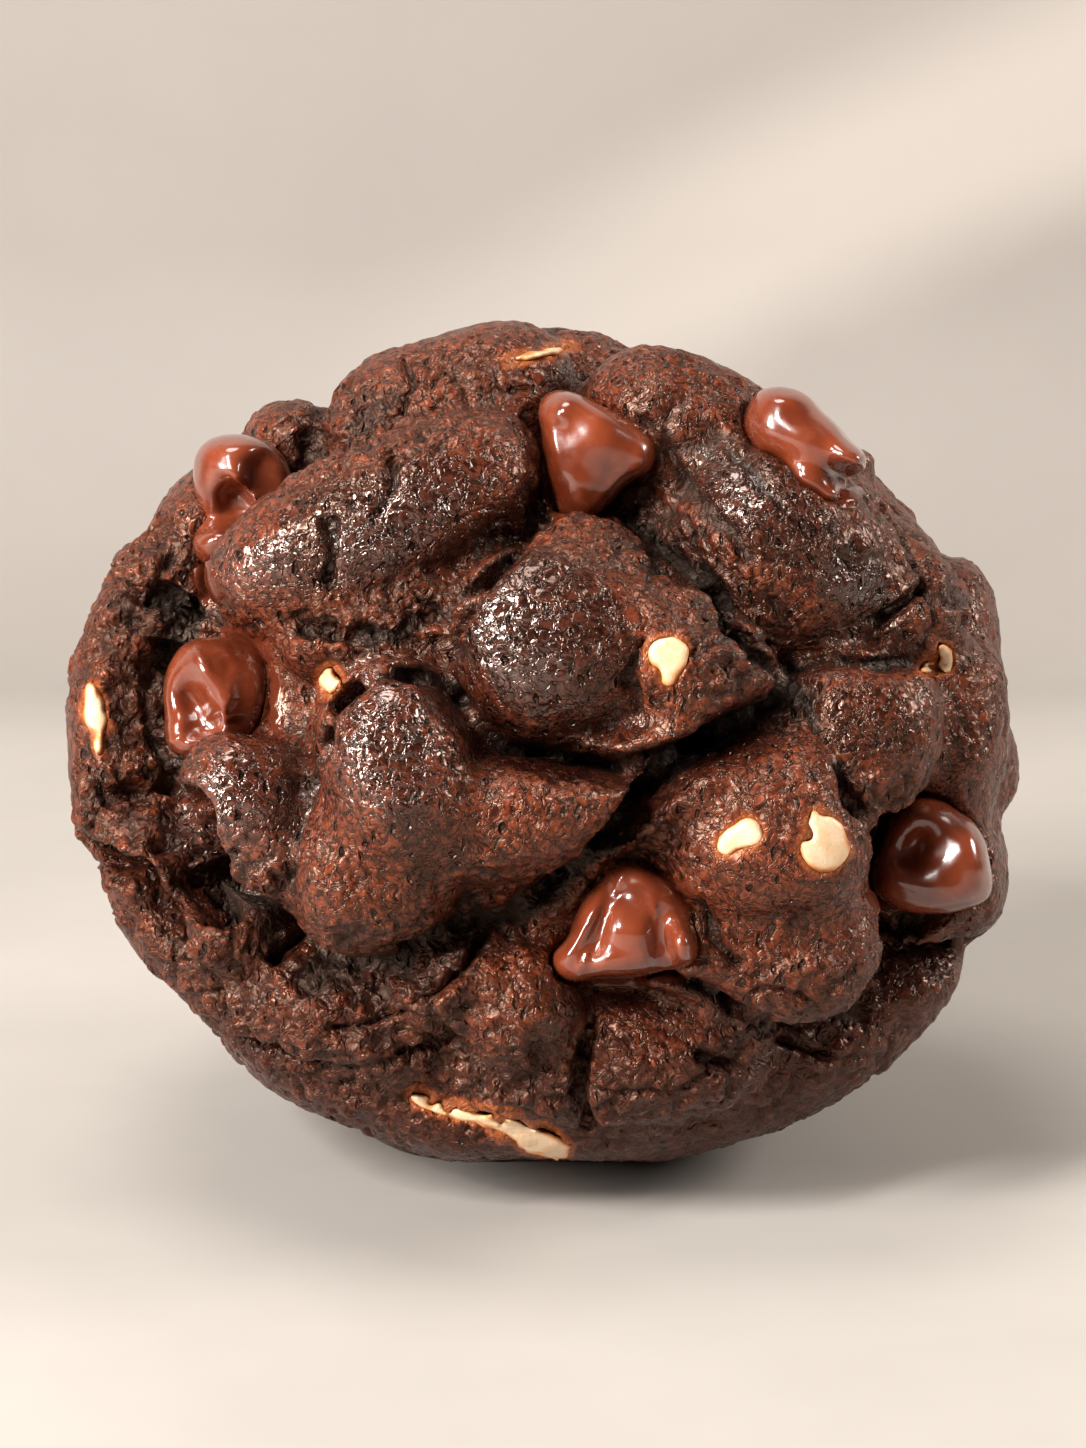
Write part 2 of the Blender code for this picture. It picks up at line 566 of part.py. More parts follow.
def skin_mesh(field, low, high, pitch):
    """Points and quads of the surface where the field is zero: one point in each lattice cell
    that it crosses, one quad across each lattice edge that it crosses."""
    axes = [np.arange(a, b + pitch, pitch) for a, b in zip(low, high)]
    shape = tuple(len(axis) for axis in axes)
    lattice = np.stack(np.meshgrid(*axes, indexing="ij"), axis=-1).reshape(-1, 3)
    values = field(lattice).reshape(shape)
    values[np.abs(values) < 1e-4] = 1e-4
    pinched = pinched_cells()
    while True:
        code = sum((cells_of(values, step) < 0).astype(int) << number for number, step in enumerate(CORNERS))
        bad = np.argwhere(pinched[code])
        if not len(bad):
            break
        for step in CORNERS:
            at = tuple((bad + step).T)
            values[at] = np.minimum(values[at], -0.05 * pitch)
    cells = np.argwhere((code > 0) & (code < 255))
    number_of = np.full(tuple(n - 1 for n in shape), -1)
    number_of[tuple(cells.T)] = np.arange(len(cells))
    corner = [values[tuple((cells + step).T)] for step in CORNERS]
    total, count = np.zeros((len(cells), 3)), np.zeros(len(cells))
    for a in range(8):
        for bit in (1, 2, 4):
            b = a | bit
            if b == a:
                continue
            crossed = (corner[a] < 0) != (corner[b] < 0)
            share = corner[a] / np.where(crossed, corner[a] - corner[b], 1.0)
            spot = np.array(CORNERS[a]) + share[:, None] * (np.array(CORNERS[b]) - CORNERS[a])
            total += spot * crossed[:, None]
            count += crossed
    points = np.array(low) + (cells + total / count[:, None]) * pitch
    quads = []
    for axis in range(3):
        u, v = (axis + 1) % 3, (axis + 2) % 3
        lower = values[tuple(slice(0, -1) if n == axis else slice(None) for n in range(3))] < 0
        upper = values[tuple(slice(1, None) if n == axis else slice(None) for n in range(3))] < 0
        edges = np.argwhere(lower != upper)
        out = lower[tuple(edges.T)]
        ring = []
        for du, dv in ((1, 1), (0, 1), (0, 0), (1, 0)):
            cell = edges.copy()
            cell[:, u] -= du
            cell[:, v] -= dv
            ring.append(number_of[tuple(cell.T)])
        ring = np.stack(ring, axis=1)
        quads.append(np.where(out[:, None], ring, ring[:, ::-1]))
    return points, np.concatenate(quads)


def largest_piece(points, quads):
    """The mesh without the small shells that a fold can pinch off."""
    label = np.arange(len(points))
    while True:
        lowest = label[quads].min(axis=1)
        new = label.copy()
        for corner in range(4):
            np.minimum.at(new, quads[:, corner], lowest)
        new = new[new]
        if (new == label).all():
            break
        label = new
    names, sizes = np.unique(label, return_counts=True)
    keep = label == names[sizes.argmax()]
    number_of = np.cumsum(keep) - 1
    return points[keep], number_of[quads[keep[quads].all(axis=1)]]


def thinned(name, mesh, faces, even=1):
    """The mesh evened out and collapsed to a face count."""
    fine = linked(name + "_fine", mesh)
    smooth = fine.modifiers.new("even", "SMOOTH")
    smooth.factor, smooth.iterations = 0.5, even
    triangles = sum(len(polygon.vertices) - 2 for polygon in mesh.polygons)
    thin = fine.modifiers.new("thin", "DECIMATE")
    thin.ratio = min(1.0, faces / triangles)
    thin.use_collapse_triangulate = True
    final = evaluated_copy(fine, name)
    bpy.data.objects.remove(fine)
    return linked(name, final)


def dough_solid(name, faces):
    points, quads = largest_piece(
        *skin_mesh(dough_field, (-49.0, -48.0, -5.0), (49.0, 48.0, 82.0), DOUGH_PITCH)
    )
    mesh = bpy.data.meshes.new(name)
    mesh.from_pydata((points * MM).tolist(), [], quads.tolist())
    return thinned(name, mesh, faces, even=4)


def solid(name, lumps, field, voxel, faces):
    """One closed mesh: the lumps' shells united, drawn onto the field and thinned to a face count."""
    points, polygons = [], []
    for lump in lumps:
        if lump.sign < 0:
            continue
        shell, shell_faces = lump.shell()
        start = sum(len(group) for group in points)
        points.append(shell)
        polygons += [[start + index for index in face] for face in shell_faces]
    mesh = bpy.data.meshes.new(name + "_lumps")
    mesh.from_pydata((np.concatenate(points) * MM).tolist(), [], polygons)
    rough = linked(name + "_lumps", mesh)
    remesh = rough.modifiers.new("unite", "REMESH")
    remesh.mode = "VOXEL"
    remesh.voxel_size = voxel * MM
    united = evaluated_copy(rough, name)
    bpy.data.objects.remove(rough)
    set_points(united, settle(points_of(united), field))
    return thinned(name, united, faces)


def grown(obj, name, amount):
    """A copy of the mesh moved outwards by `amount`: the cutter for its pocket."""
    mesh = obj.data.copy()
    normals = np.empty(len(mesh.vertices) * 3)
    mesh.vertices.foreach_get("normal", normals)
    set_points(mesh, points_of(mesh) + normals.reshape(-1, 3) * amount)
    cutter = linked(name, mesh)
    cutter.hide_render = True
    cutter.display_type = "WIRE"
    return cutter


def slab(name, low, high):
    """A block between two corners, kept as a cutter."""
    mesh = bmesh.new()
    bmesh.ops.create_cube(mesh, size=1.0)
    for vertex in mesh.verts:
        vertex.co = [
            (low[axis] + (high[axis] - low[axis]) * (vertex.co[axis] + 0.5)) * MM for axis in range(3)
        ]
    data = bpy.data.meshes.new(name)
    mesh.to_mesh(data)
    mesh.free()
    block = linked(name, data)
    block.hide_render = True
    block.display_type = "WIRE"
    return block


def material(name, colour, roughness):
    made = bpy.data.materials.new(name)
    made.use_nodes = True
    shader = made.node_tree.nodes["Principled BSDF"]
    shader.inputs["Base Color"].default_value = (*colour, 1.0)
    shader.inputs["Roughness"].default_value = roughness
    shader.inputs["Metallic"].default_value = 0.0
    return made


def finish(obj, look):
    obj.data.materials.clear()
    obj.data.materials.append(look)
    obj.data.shade_smooth()
    obj.data.set_sharp_from_angle(angle=math.radians(50.0))


def main():
    for old in list(bpy.data.objects):
        bpy.data.objects.remove(old)

    baked_dough = material("baked_dough", (0.072, 0.024, 0.015), 0.55)
    milk_chocolate = material("milk_chocolate", (0.21, 0.062, 0.026), 0.18)
    white_chocolate = material("white_chocolate", (0.94, 0.74, 0.50), 0.42)

    cookie = dough_solid("cookie", DOUGH_FACES)
    finish(cookie, baked_dough)

    pieces = []
    for name, (anchor, parts) in CHIPS.items():
        lumps = chip_lumps(anchor, parts)
        pieces.append((name, lumps, CHIP_FACES, milk_chocolate))
    for name, values in REAR_CHIPS.items():
        pieces.append((name, rear_piece_lumps(*values, True), CHIP_FACES, milk_chocolate))
    for name, values in WHITES.items():
        pieces.append((name, white_lumps(*values), WHITE_FACES, white_chocolate))
    for name, values in REAR_WHITES.items():
        pieces.append((name, rear_piece_lumps(*values, False), WHITE_FACES, white_chocolate))

    pockets = bpy.data.collections.new("pockets")
    bpy.context.scene.collection.children.link(pockets)
    for name, lumps, faces, look in pieces:
        piece = solid(name, lumps, lambda points, lumps=lumps: blended(points, lumps), 0.5, faces)
        finish(piece, look)
        cutter = grown(piece, name + "_pocket", GAP)
        bpy.context.scene.collection.objects.unlink(cutter)
        pockets.objects.link(cutter)

    floor = slab("below_seat", (-60.0, -60.0, -30.0), (60.0, 60.0, SEAT_LEVEL))
    flat = cookie.modifiers.new("flat_seat", "BOOLEAN")
    flat.operation, flat.object = "DIFFERENCE", floor
    cut = cookie.modifiers.new("pockets", "BOOLEAN")
    cut.operation, cut.operand_type, cut.collection = "DIFFERENCE", "COLLECTION", pockets


main()
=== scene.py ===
"""Looks of the lava cookie: its baked crust, melted chips and toasted white chocolate.

The dough's lobes and valleys are laid out as in the construction model, from the same sizes, and
then get their fine surface: fissures, crackle, crumb and pores. Sizes are millimetres unless a
name says otherwise; meshes are metres.
"""

import math

import bmesh
import bpy
import numpy as np
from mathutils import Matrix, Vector


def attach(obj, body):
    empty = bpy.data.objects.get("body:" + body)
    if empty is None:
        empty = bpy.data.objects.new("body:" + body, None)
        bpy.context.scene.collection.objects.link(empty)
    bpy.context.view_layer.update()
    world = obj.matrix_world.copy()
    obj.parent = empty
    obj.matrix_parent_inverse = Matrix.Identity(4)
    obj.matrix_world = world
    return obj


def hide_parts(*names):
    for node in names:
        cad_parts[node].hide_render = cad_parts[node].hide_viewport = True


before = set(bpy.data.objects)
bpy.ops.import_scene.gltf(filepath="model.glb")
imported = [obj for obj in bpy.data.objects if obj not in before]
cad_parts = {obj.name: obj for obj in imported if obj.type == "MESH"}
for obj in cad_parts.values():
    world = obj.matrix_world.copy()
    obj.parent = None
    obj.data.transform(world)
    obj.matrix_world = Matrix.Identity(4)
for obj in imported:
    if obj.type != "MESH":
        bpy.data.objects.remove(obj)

# ---------------------------------------------------------------- sizes shared with the model
WIDTH = 90.0
SPAN = 958.0
UNIT = WIDTH / SPAN
SHEET_MIDDLE = (543.5, 742.0)
VIEW_TILT = math.radians(12.0)
VIEW_RANGE = 378.0

MIDDLE = np.array([0.0, 0.0, 37.8])
GUIDE = np.array([44.0, 42.5, 38.2])
CORE = np.array([39.0, 37.6, 33.4])
SEAT = ((1.0, 3.0, 2.9), (19.0, 15.5, 5.4))
BELLY = ((1.0, 0.0, 13.4), (33.0, 31.0, 12.2))

LOBE_POWER = 2.5
LOBE_BLEND = 2.2
RELIEF = ((11.0, 0.50), (5.2, 0.16))
CHIP_BLEND = 1.6
MM = 0.001

RIGHT = np.array([1.0, 0.0, 0.0])
UP = np.array([0.0, math.sin(VIEW_TILT), math.cos(VIEW_TILT)])
AHEAD = np.array([0.0, math.cos(VIEW_TILT), -math.sin(VIEW_TILT)])
EYE = MIDDLE - VIEW_RANGE * AHEAD

# name, x, y, half width, half height, roll in degrees, half thickness, stand-out in mm
FRONT_LOBES = (
    ("back_top", 530, 358, 85, 32, 2, 120, -9.0),
    ("crown", 455, 408, 122, 79, 14, 110, 0.6),
    ("crown_left", 392, 436, 63, 60, 35, 90, 0.2),
    ("brow_left", 385, 520, 172, 80, 27, 105, 3.9),
    ("brow_left_end", 275, 568, 62, 50, 25, 70, 2.6),
    ("shelf", 375, 625, 105, 52, 10, 80, -1.6),
    ("nose", 545, 640, 92, 100, 12, 100, 4.4),
    ("nose_top", 592, 564, 58, 48, -25, 80, 1.2),
    ("nose_wing", 664, 658, 118, 76, -24, 95, 3.6),
    ("cheek", 400, 770, 82, 112, 14, 100, 6.4),
    ("cheek_low", 375, 868, 86, 84, 8, 100, 4.6),
    ("cheek_roll", 530, 812, 130, 68, 16, 100, 2.8),
    ("cheek_end", 652, 770, 88, 54, 32, 80, 2.8),
    ("left_knob", 245, 798, 68, 66, -15, 80, 4.2),
    ("left_knob_low", 268, 868, 42, 42, 0, 60, 2.4),
    ("brow_right", 688, 448, 117, 86, -28, 110, 2.2),
    ("brow_right_mid", 775, 548, 116, 98, -38, 110, 3.6),
    ("brow_right_end", 890, 598, 82, 62, -32, 90, 3.2),
    ("brow_right_up", 828, 503, 82, 46, -45, 90, 0.6),
    ("right_cheek", 856, 730, 86, 82, -10, 90, 3.4),
    ("right_side", 948, 730, 66, 95, -5, 110, 1.2),
    ("jowl", 768, 826, 108, 98, 0, 105, 4.4),
    ("jowl_low", 785, 942, 102, 77, 4, 100, 4.2),
    ("jowl_left", 690, 945, 58, 48, -10, 70, 0.6),
    ("side_low", 940, 855, 66, 94, 12, 100, 0.0),
    ("fold_a", 445, 975, 55, 44, 50, 70, 2.0),
    ("fold_b", 520, 1000, 62, 66, 25, 80, 2.4),
    ("chin_left", 232, 974, 118, 56, -42, 100, 0.6),
    ("chin_mid", 345, 1015, 110, 55, -18, 95, 1.2),
    ("chin", 610, 1050, 165, 78, 2, 110, 1.6),
    ("chin_right", 795, 1046, 128, 62, 24, 100, 0.2),
    ("chin_side", 890, 958, 66, 76, 50, 95, -0.3),
    ("base_left", 385, 1080, 138, 52, -22, 110, -1.0),
    ("base", 560, 1108, 150, 50, 0, 110, -0.6),
    ("base_right", 735, 1088, 118, 45, 18, 110, -1.6),
    ("flank_a", 152, 618, 62, 86, -20, 100, 0.0),
    ("flank_b", 120, 715, 53, 90, 0, 100, 0.4),
    ("flank_c", 128, 800, 54, 62, 0, 90, 0.4),
    ("flank_d", 162, 868, 60, 50, -15, 80, 1.4),
    ("flank_e", 235, 925, 58, 46, 20, 70, 2.0),
    ("flank_low", 168, 915, 50, 62, 35, 90, -1.0),
    ("shoulder_back", 294, 450, 46, 50, 0, 80, -6.0),
    ("shoulder", 212, 524, 57, 54, 45, 90, -2.0),
    ("edge_right", 962, 640, 40, 84, 8, 110, -3.0),
    ("edge_bump", 992, 765, 27, 44, 0, 60, -3.0),
    ("back_right_a", 702, 402, 64, 36, -32, 100, -9.0),
    ("back_right_b", 854, 470, 20, 22, 0, 30, -6.0),
    ("back_right_c", 890, 562, 44, 48, -40, 100, -7.0),
)

# name, half width in mm, depth in mm, points on the front-view sheet
VALLEYS = (
    ("brow_to_nose", 1.9, 5.4, ((616, 492), (666, 540), (710, 584), (738, 622), (764, 652), (790, 686))),
    ("nose_to_jowl", 2.6, 8.5, ((780, 690), (750, 724), (704, 758), (657, 800), (608, 848), (556, 884), (510, 914))),
    ("under_cheek", 1.7, 5.5, ((284, 924), (330, 950), (390, 960), (440, 938), (505, 916))),
    ("cheek_to_knob", 1.1, 4.0, ((326, 736), (304, 790), (294, 850), (286, 900), (286, 926))),
    ("nose_to_cheek", 1.4, 4.0, ((338, 698), (382, 668), (440, 676), (468, 712), (504, 746), (560, 756), (632, 770), (702, 744), (764, 702))),
    ("under_brow", 1.2, 3.4, ((296, 622), (350, 630), (404, 636), (442, 604), (482, 578), (512, 548), (536, 516))),
    ("jowl_to_cheek", 1.1, 4.2, ((786, 680), (802, 706), (830, 748), (856, 792), (876, 838), (880, 880))),
    ("brow_to_cheek", 1.3, 4.0, ((786, 668), (830, 656), (880, 660), (936, 664))),
    ("under_jowl", 1.6, 5.0, ((640, 966), (690, 986), (742, 1010), (800, 1024), (852, 1006), (886, 964), (894, 926))),
    ("knob_left", 3.6, 13.0, ((174, 784), (188, 818), (202, 850), (220, 882), (250, 906), (290, 926))),
    ("flank_inner", 1.6, 4.0, ((206, 608), (186, 620), (160, 636), (146, 700), (152, 744), (168, 782))),
    ("flank_low", 1.3, 3.0, ((92, 846), (128, 876), (150, 912), (178, 948))),
    ("chin_shelf", 1.3, 2.2, ((128, 952), (184, 1010), (242, 1046), (322, 1064), (402, 1052), (452, 1030))),
    ("side_fold", 1.3, 3.0, ((860, 990), (904, 986), (930, 966), (962, 938))),
)
VALLEY_RIM = 1.2
VALLEY_WIDTH = 0.52  # share of the model's width, as crust closes over the folds
VALLEY_WOBBLE = (4.5, 0.45)

REAR_LOBES = 58
REAR_SIZE = (9.5, 15.5)
REAR_THICKNESS = (8.0, 10.0)
REAR_STAND_OUT = (-1.0, 2.0)
REAR_SHAKE = 0.16
REAR_FOLD = (1.9, 6.0)
REAR_FROM = 0.02
SEED = 41

# ---------------------------------------------------------------- fine surface, this script's own
PITCH = 0.8  # lattice spacing; the mesh is then divided once
DOUGH_TRIANGLES = 197000

# Narrow cracks: half width, depth, points on the sheet.
CRACKS = (
    (0.55, 1.9, ((106, 570), (134, 590), (166, 602), (196, 596))),
    (0.55, 2.0, ((482, 930), (456, 974), (414, 1002))),
    (0.60, 2.2, ((594, 1020), (584, 1060), (578, 1096), (588, 1130))),
    (0.50, 1.8, ((884, 930), (922, 944), (950, 918))),
    (0.45, 1.5, ((878, 620), (904, 600), (928, 578))),
    (0.60, 1.6, ((452, 650), (470, 604), (500, 562))),
    (0.40, 1.3, ((330, 520), (334, 552), (326, 580))),
    (0.40, 1.2, ((392, 458), (398, 486), (382, 512))),
    (0.40, 1.2, ((404, 350), (412, 380), (404, 408))),
    (0.45, 1.5, ((152, 640), (146, 672), (128, 706))),
    (0.35, 0.8, ((640, 420), (682, 470), (706, 520), (742, 560))),
    (0.35, 0.6, ((716, 420), (760, 486), (800, 530), (852, 566))),
    (0.40, 1.2, ((690, 560), (724, 600), (770, 640))),
    (0.40, 1.2, ((640, 640), (628, 678), (640, 712))),
    (0.40, 1.2, ((700, 900), (716, 938), (738, 962))),
    (0.45, 1.4, ((338, 1024), (392, 1010), (444, 1020))),
    (0.45, 1.4, ((700, 1050), (760, 1070), (826, 1052))),
    (0.40, 1.2, ((216, 980), (226, 1012), (262, 1030))),
    (0.40, 1.2, ((88, 760), (100, 800), (92, 836))),
    (0.45, 1.5, ((880, 500), (912, 552), (930, 596))),
    (0.55, 2.4, ((150, 832), (178, 856), (203, 884))),
    (1.20, 4.0, ((200, 882), (218, 902), (240, 908))),
    (0.60, 2.6, ((240, 908), (270, 918), (300, 938))),
)

# Milk chocolate chips, as blended lumps, or hollows where the last value is -1.
# dx, dy, half width, half height, roll, half thickness in mm, stand-out in mm, sign
CHIPS = {
    "chip_crown": ((596, 452), (
        (-8, 2, 36, 38, 0, 5.2, 5.6, 1),
        (-36, 2, 15, 54, 10, 4.4, 5.0, 1),
        (-30, 42, 20, 16, 10, 4.2, 5.4, 1),
        (6, 24, 56, 17, -29, 4.8, 5.4, 1),
        (44, -2, 15, 19, 10, 4.2, 5.0, 1),
        (12, -30, 44, 15, 46, 4.4, 4.8, 1),
        (-20, -55, 13, 13, 0, 3.6, 3.8, 1),
        (-14, -26, 26, 34, 0, 4.8, 5.4, 1),
        (2, 10, 40, 30, -20, 4.8, 5.6, 1),
    )),
    "chip_shoulder": ((799, 443), (
        (-20, 18, 35, 31, -38, 5.4, 6.4, 1),
        (8, 4, 42, 33, -38, 5.6, 7.4, 1),
        (-14, 38, 26, 16, -10, 4.6, 6.0, 1),
        (44, -10, 18, 12, -40, 4.0, 7.6, 1),
        (57, -18, 9, 10, 0, 3.4, 7.8, 1),
        (10, -34, 26, 17, -28, 4.6, 7.2, 1),
        (34, -48, 12, 11, 0, 3.4, 7.0, 1),
        (50, -36, 12, 11, 20, 2.6, 9.2, -1),
    )),
    "chip_curl": ((243, 492), (
        (-14, 10, 35, 44, 6, 5.2, 5.4, 1),
        (-6, 38, 34, 18, 8, 4.8, 5.8, 1),
        (22, 14, 27, 30, 14, 4.8, 4.8, 1),
        (2, 6, 10, 34, 40, 4.0, 7.0, 1),
        (-22, -44, 25, 18, 14, 4.6, 6.4, 1),
        (-30, -56, 15, 15, 0, 4.0, 5.4, 1),
        (-8, -10, 19, 21, 25, 3.4, 9.4, -1),
        (28, 12, 12, 24, 30, 2.6, 9.0, -1),
        (-20, -27, 26, 5, 12, 2.0, 7.8, -1),
    )),
    "chip_left": ((216, 697), (
        (2, 18, 50, 44, 0, 5.4, 5.8, 1),
        (-4, -8, 46, 44, 10, 5.4, 5.8, 1),
        (-25, -38, 25, 21, 10, 4.8, 5.8, 1),
        (26, -4, 26, 50, -12, 4.8, 5.0, 1),
        (-8, 24, 10, 30, 32, 4.2, 7.2, 1),
        (9, -10, 10, 34, -4, 4.2, 7.2, 1),
        (-24, -4, 14, 25, 30, 3.2, 9.2, -1),
        (-14, -31, 20, 4, 22, 2.0, 8.2, -1),
    )),
    "chip_low": ((630, 922), (
        (2, 0, 50, 44, 0, 5.4, 5.6, 1),
        (-38, -2, 50, 17, 62, 4.6, 5.0, 1),
        (-58, -40, 17, 12, -14, 3.8, 3.6, 1),
        (24, 32, 50, 18, -34, 4.8, 4.6, 1),
        (-10, -36, 56, 17, 3, 4.6, 4.9, 1),
        (-4, 44, 16, 14, 0, 4.0, 4.2, 1),
        (51, -20, 18, 23, 14, 4.6, 6.4, 1),
        (31, -16, 5, 26, 10, 2.2, 8.4, -1),
        (-27, 4, 5, 36, -24, 2.0, 8.2, -1),
        (6, 22, 28, 24, 0, 2.2, 9.6, -1),
    )),
    "chip_right": ((930, 854), (
        (2, -4, 53, 48, -6, 5.4, 5.4, 1),
        (-4, 30, 33, 28, -14, 4.8, 4.9, 1),
        (-30, -24, 26, 24, 0, 4.8, 4.9, 1),
        (12, -34, 46, 23, 4, 5.2, 5.0, 1),
        (40, -4, 16, 38, 14, 4.8, 5.0, 1),
        (-17, 8, 12, 24, -38, 3.0, 8.8, -1),
        (-2, 4, 27, 22, 30, 2.4, 9.4, -1),
    )),
}
REAR_CHIPS = {
    "chip_back_a": (158, 34, 5.4, 4.8, 25, 5.0, 3.2),
    "chip_back_b": (206, -8, 5.0, 5.6, -30, 5.0, 3.0),
    "chip_back_c": (243, 30, 5.6, 4.6, 60, 4.8, 2.8),
    "chip_back_d": (118, -6, 4.9, 5.3, 10, 4.8, 2.8),
}

# White chocolate: an anchor on the sheet, then rounded patches of it (dx, dy, half width, half
# height, roll) that join to the piece's outline, and the nibbles browned or covered along it.
WHITES = {
    "white_flank": ((97, 718), (
        (-1, 5, 13, 17, 4), (-5, 24, 7, 12, 10), (2, -20, 5, 15, -4),
    ), ((13, 12, 6, 8, 0),)),
    "white_bead": ((331, 679), ((0, 0, 12, 13, 0),), ((9, 10, 6, 5, 30),)),
    "white_nose": ((670, 657), (
        (0, 4, 20, 19, 0), (-2, -14, 10, 13, 0), (-13, 6, 8, 11, 0),
    ), ((-13, -17, 5, 8, 10),)),
    "white_side": ((941, 659), ((4, 2, 9, 15, 8), (-13, -7, 8, 6, 20)), ((-6, 6, 4, 8, 30),)),
    "white_jowl_a": ((742, 838), (
        (-6, 1, 18, 13, 30), (9, 9, 13, 15, 20), (-12, -6, 11, 8, 0),
    ), ((-4, -16, 9, 6, 20),)),
    "white_jowl_b": ((826, 843), (
        (-2, -6, 23, 21, -20), (-8, 18, 10, 18, 14), (8, 8, 14, 22, 24),
    ), ((-19, 12, 6, 7, 0), (-22, 30, 6, 6, 0))),
    "white_base": ((498, 1127), (
        (-68, 24, 22, 7, -24), (-34, 13, 26, 6, -14), (2, 3, 24, 8, -20), (36, -12, 38, 12, -24),
        (50, -19, 20, 9, -10),
    ), ((-66, 26, 4, 3, 0), (-50, 20, 3, 3, 0), (2, 9, 5, 3, -20), (6, -10, 15, 3, -20))),
    "white_top": ((540, 351), ((12, 1, 22, 4, 12), (-16, -5, 14, 3, 8)), ()),
}
REAR_WHITES = {
    "white_back_a": (178, 6, 2.6, 3.4, 20, 2.8, 0.7),
    "white_back_b": (234, -18, 4.4, 2.0, 15, 3.0, 1.0),
    "white_back_c": (142, -28, 2.4, 2.2, 0, 2.8, 0.7),
}

# ---------------------------------------------------------------- fields, as in the model
LATTICE = np.random.default_rng(SEED).uniform(-1.0, 1.0, (16, 16, 16))


def noise(points, wavelength, shift=0.0):
    """Smooth noise in -1..1, on a repeating lattice with one value every `wavelength` mm."""
    at = points / wavelength + shift
    cell = np.floor(at).astype(int)
    part = at - cell
    part = part * part * (3.0 - 2.0 * part)
    total = np.zeros(len(points))
    for corner in range(8):
        step = np.array([corner & 1, corner >> 1 & 1, corner >> 2])
        weight = np.where(step, part, 1.0 - part).prod(axis=1)
        i, j, k = ((cell + step) % 16).T
        total += weight * LATTICE[i, j, k]
    return total


class Lump:
    """A rounded mass: centre, three unit axes as rows, a half size along each."""

    def __init__(self, centre, axes, radii, power=2.0, blend=LOBE_BLEND, sign=1):
        self.centre = np.asarray(centre, float)
        self.axes = np.asarray(axes, float)
        self.radii = np.asarray(radii, float)
        self.power, self.blend, self.sign = power, blend, sign

    def distance(self, points):
        local = np.abs((points - self.centre) @ self.axes.T) / self.radii + 1e-9
        p = self.power
        size = (local**p).sum(axis=1) ** (1.0 / p)
        slope = size ** (1.0 - p) * np.sqrt(((local ** (p - 1.0) / self.radii) ** 2).sum(axis=1))
        return (size - 1.0) / slope


def blended(points, lumps):
    """Signed distance to the lumps, joined, or hollowed where a lump's sign is -1."""
    total = lumps[0].distance(points)
    for lump in lumps[1:]:
        reach = lump.radii.max() * 1.25 + 2.0 * lump.blend
        near = np.nonzero((np.abs(points - lump.centre) < reach).all(axis=1))[0]
        if not len(near):
            continue
        one, old = lump.distance(points[near]), total[near]
        if lump.sign > 0:
            mix = np.maximum(lump.blend - np.abs(old - one), 0.0) / lump.blend
            total[near] = np.minimum(old, one) - mix * mix * lump.blend / 4.0
        else:
            mix = np.maximum(lump.blend - np.abs(old + one), 0.0) / lump.blend
            total[near] = np.maximum(old, -one) + mix * mix * lump.blend / 4.0
    return total


def settle(points, field, steps=3, reach=0.5):
    """Moves points onto the surface where the field is zero."""
    h = 0.03
    for _ in range(steps):
        value = field(points)
        slope = np.stack([(field(points + h * axis) - value) / h for axis in np.eye(3)], axis=1)
        length = np.maximum((slope**2).sum(axis=1), 0.2)
        points = points - slope * np.clip(value / length, -reach, reach)[:, None]
    return points


def sight(x, y):
    aim = MIDDLE + (x - SHEET_MIDDLE[0]) * UNIT * RIGHT + (SHEET_MIDDLE[1] - y) * UNIT * UP
    line = aim - EYE
    return line / np.linalg.norm(line)


def guide_range(x, y):
    line = sight(x, y)
    start = (EYE - MIDDLE) / GUIDE
    way = line / GUIDE
    a, b, c = way @ way, start @ way, start @ start - 1.0
    return (-b - math.sqrt(max(b * b - a * c, 0.0))) / a


def sheet_axes(line, roll):
    across = RIGHT - (RIGHT @ line) * line
    across /= np.linalg.norm(across)
    up = np.cross(across, line)
    turn = math.radians(roll)
    return np.array([
        across * math.cos(turn) + up * math.sin(turn),
        -across * math.sin(turn) + up * math.cos(turn),
        -line,
    ])


def front_lump(x, y, half_w, half_h, roll, thickness, range_to_skin, stand_out, **shape):
    line = sight(x, y)
    centre = EYE + line * (range_to_skin + thickness - stand_out)
    scale = UNIT * ((centre - EYE) @ AHEAD) / VIEW_RANGE
    return Lump(centre, sheet_axes(line, roll), (half_w * scale, half_h * scale, thickness), **shape)


def surface_axes(direction, roll):
    out = direction / GUIDE
    out /= np.linalg.norm(out)
    side = np.cross([0.0, 0.0, 1.0], out)
    side = side / np.linalg.norm(side) if np.linalg.norm(side) > 1e-3 else RIGHT
    up = np.cross(out, side)
    turn = math.radians(roll)
    return np.array([
        side * math.cos(turn) + up * math.sin(turn),
        -side * math.sin(turn) + up * math.cos(turn),
        out,
    ])


def rear_lump(direction, half_a, half_b, roll, thickness, stand_out, skin=None, **shape):
    axes = surface_axes(direction, roll)
    point = MIDDLE + direction * GUIDE if skin is None else skin
    return Lump(point + axes[2] * (stand_out - thickness), axes, (half_a, half_b, thickness), **shape)


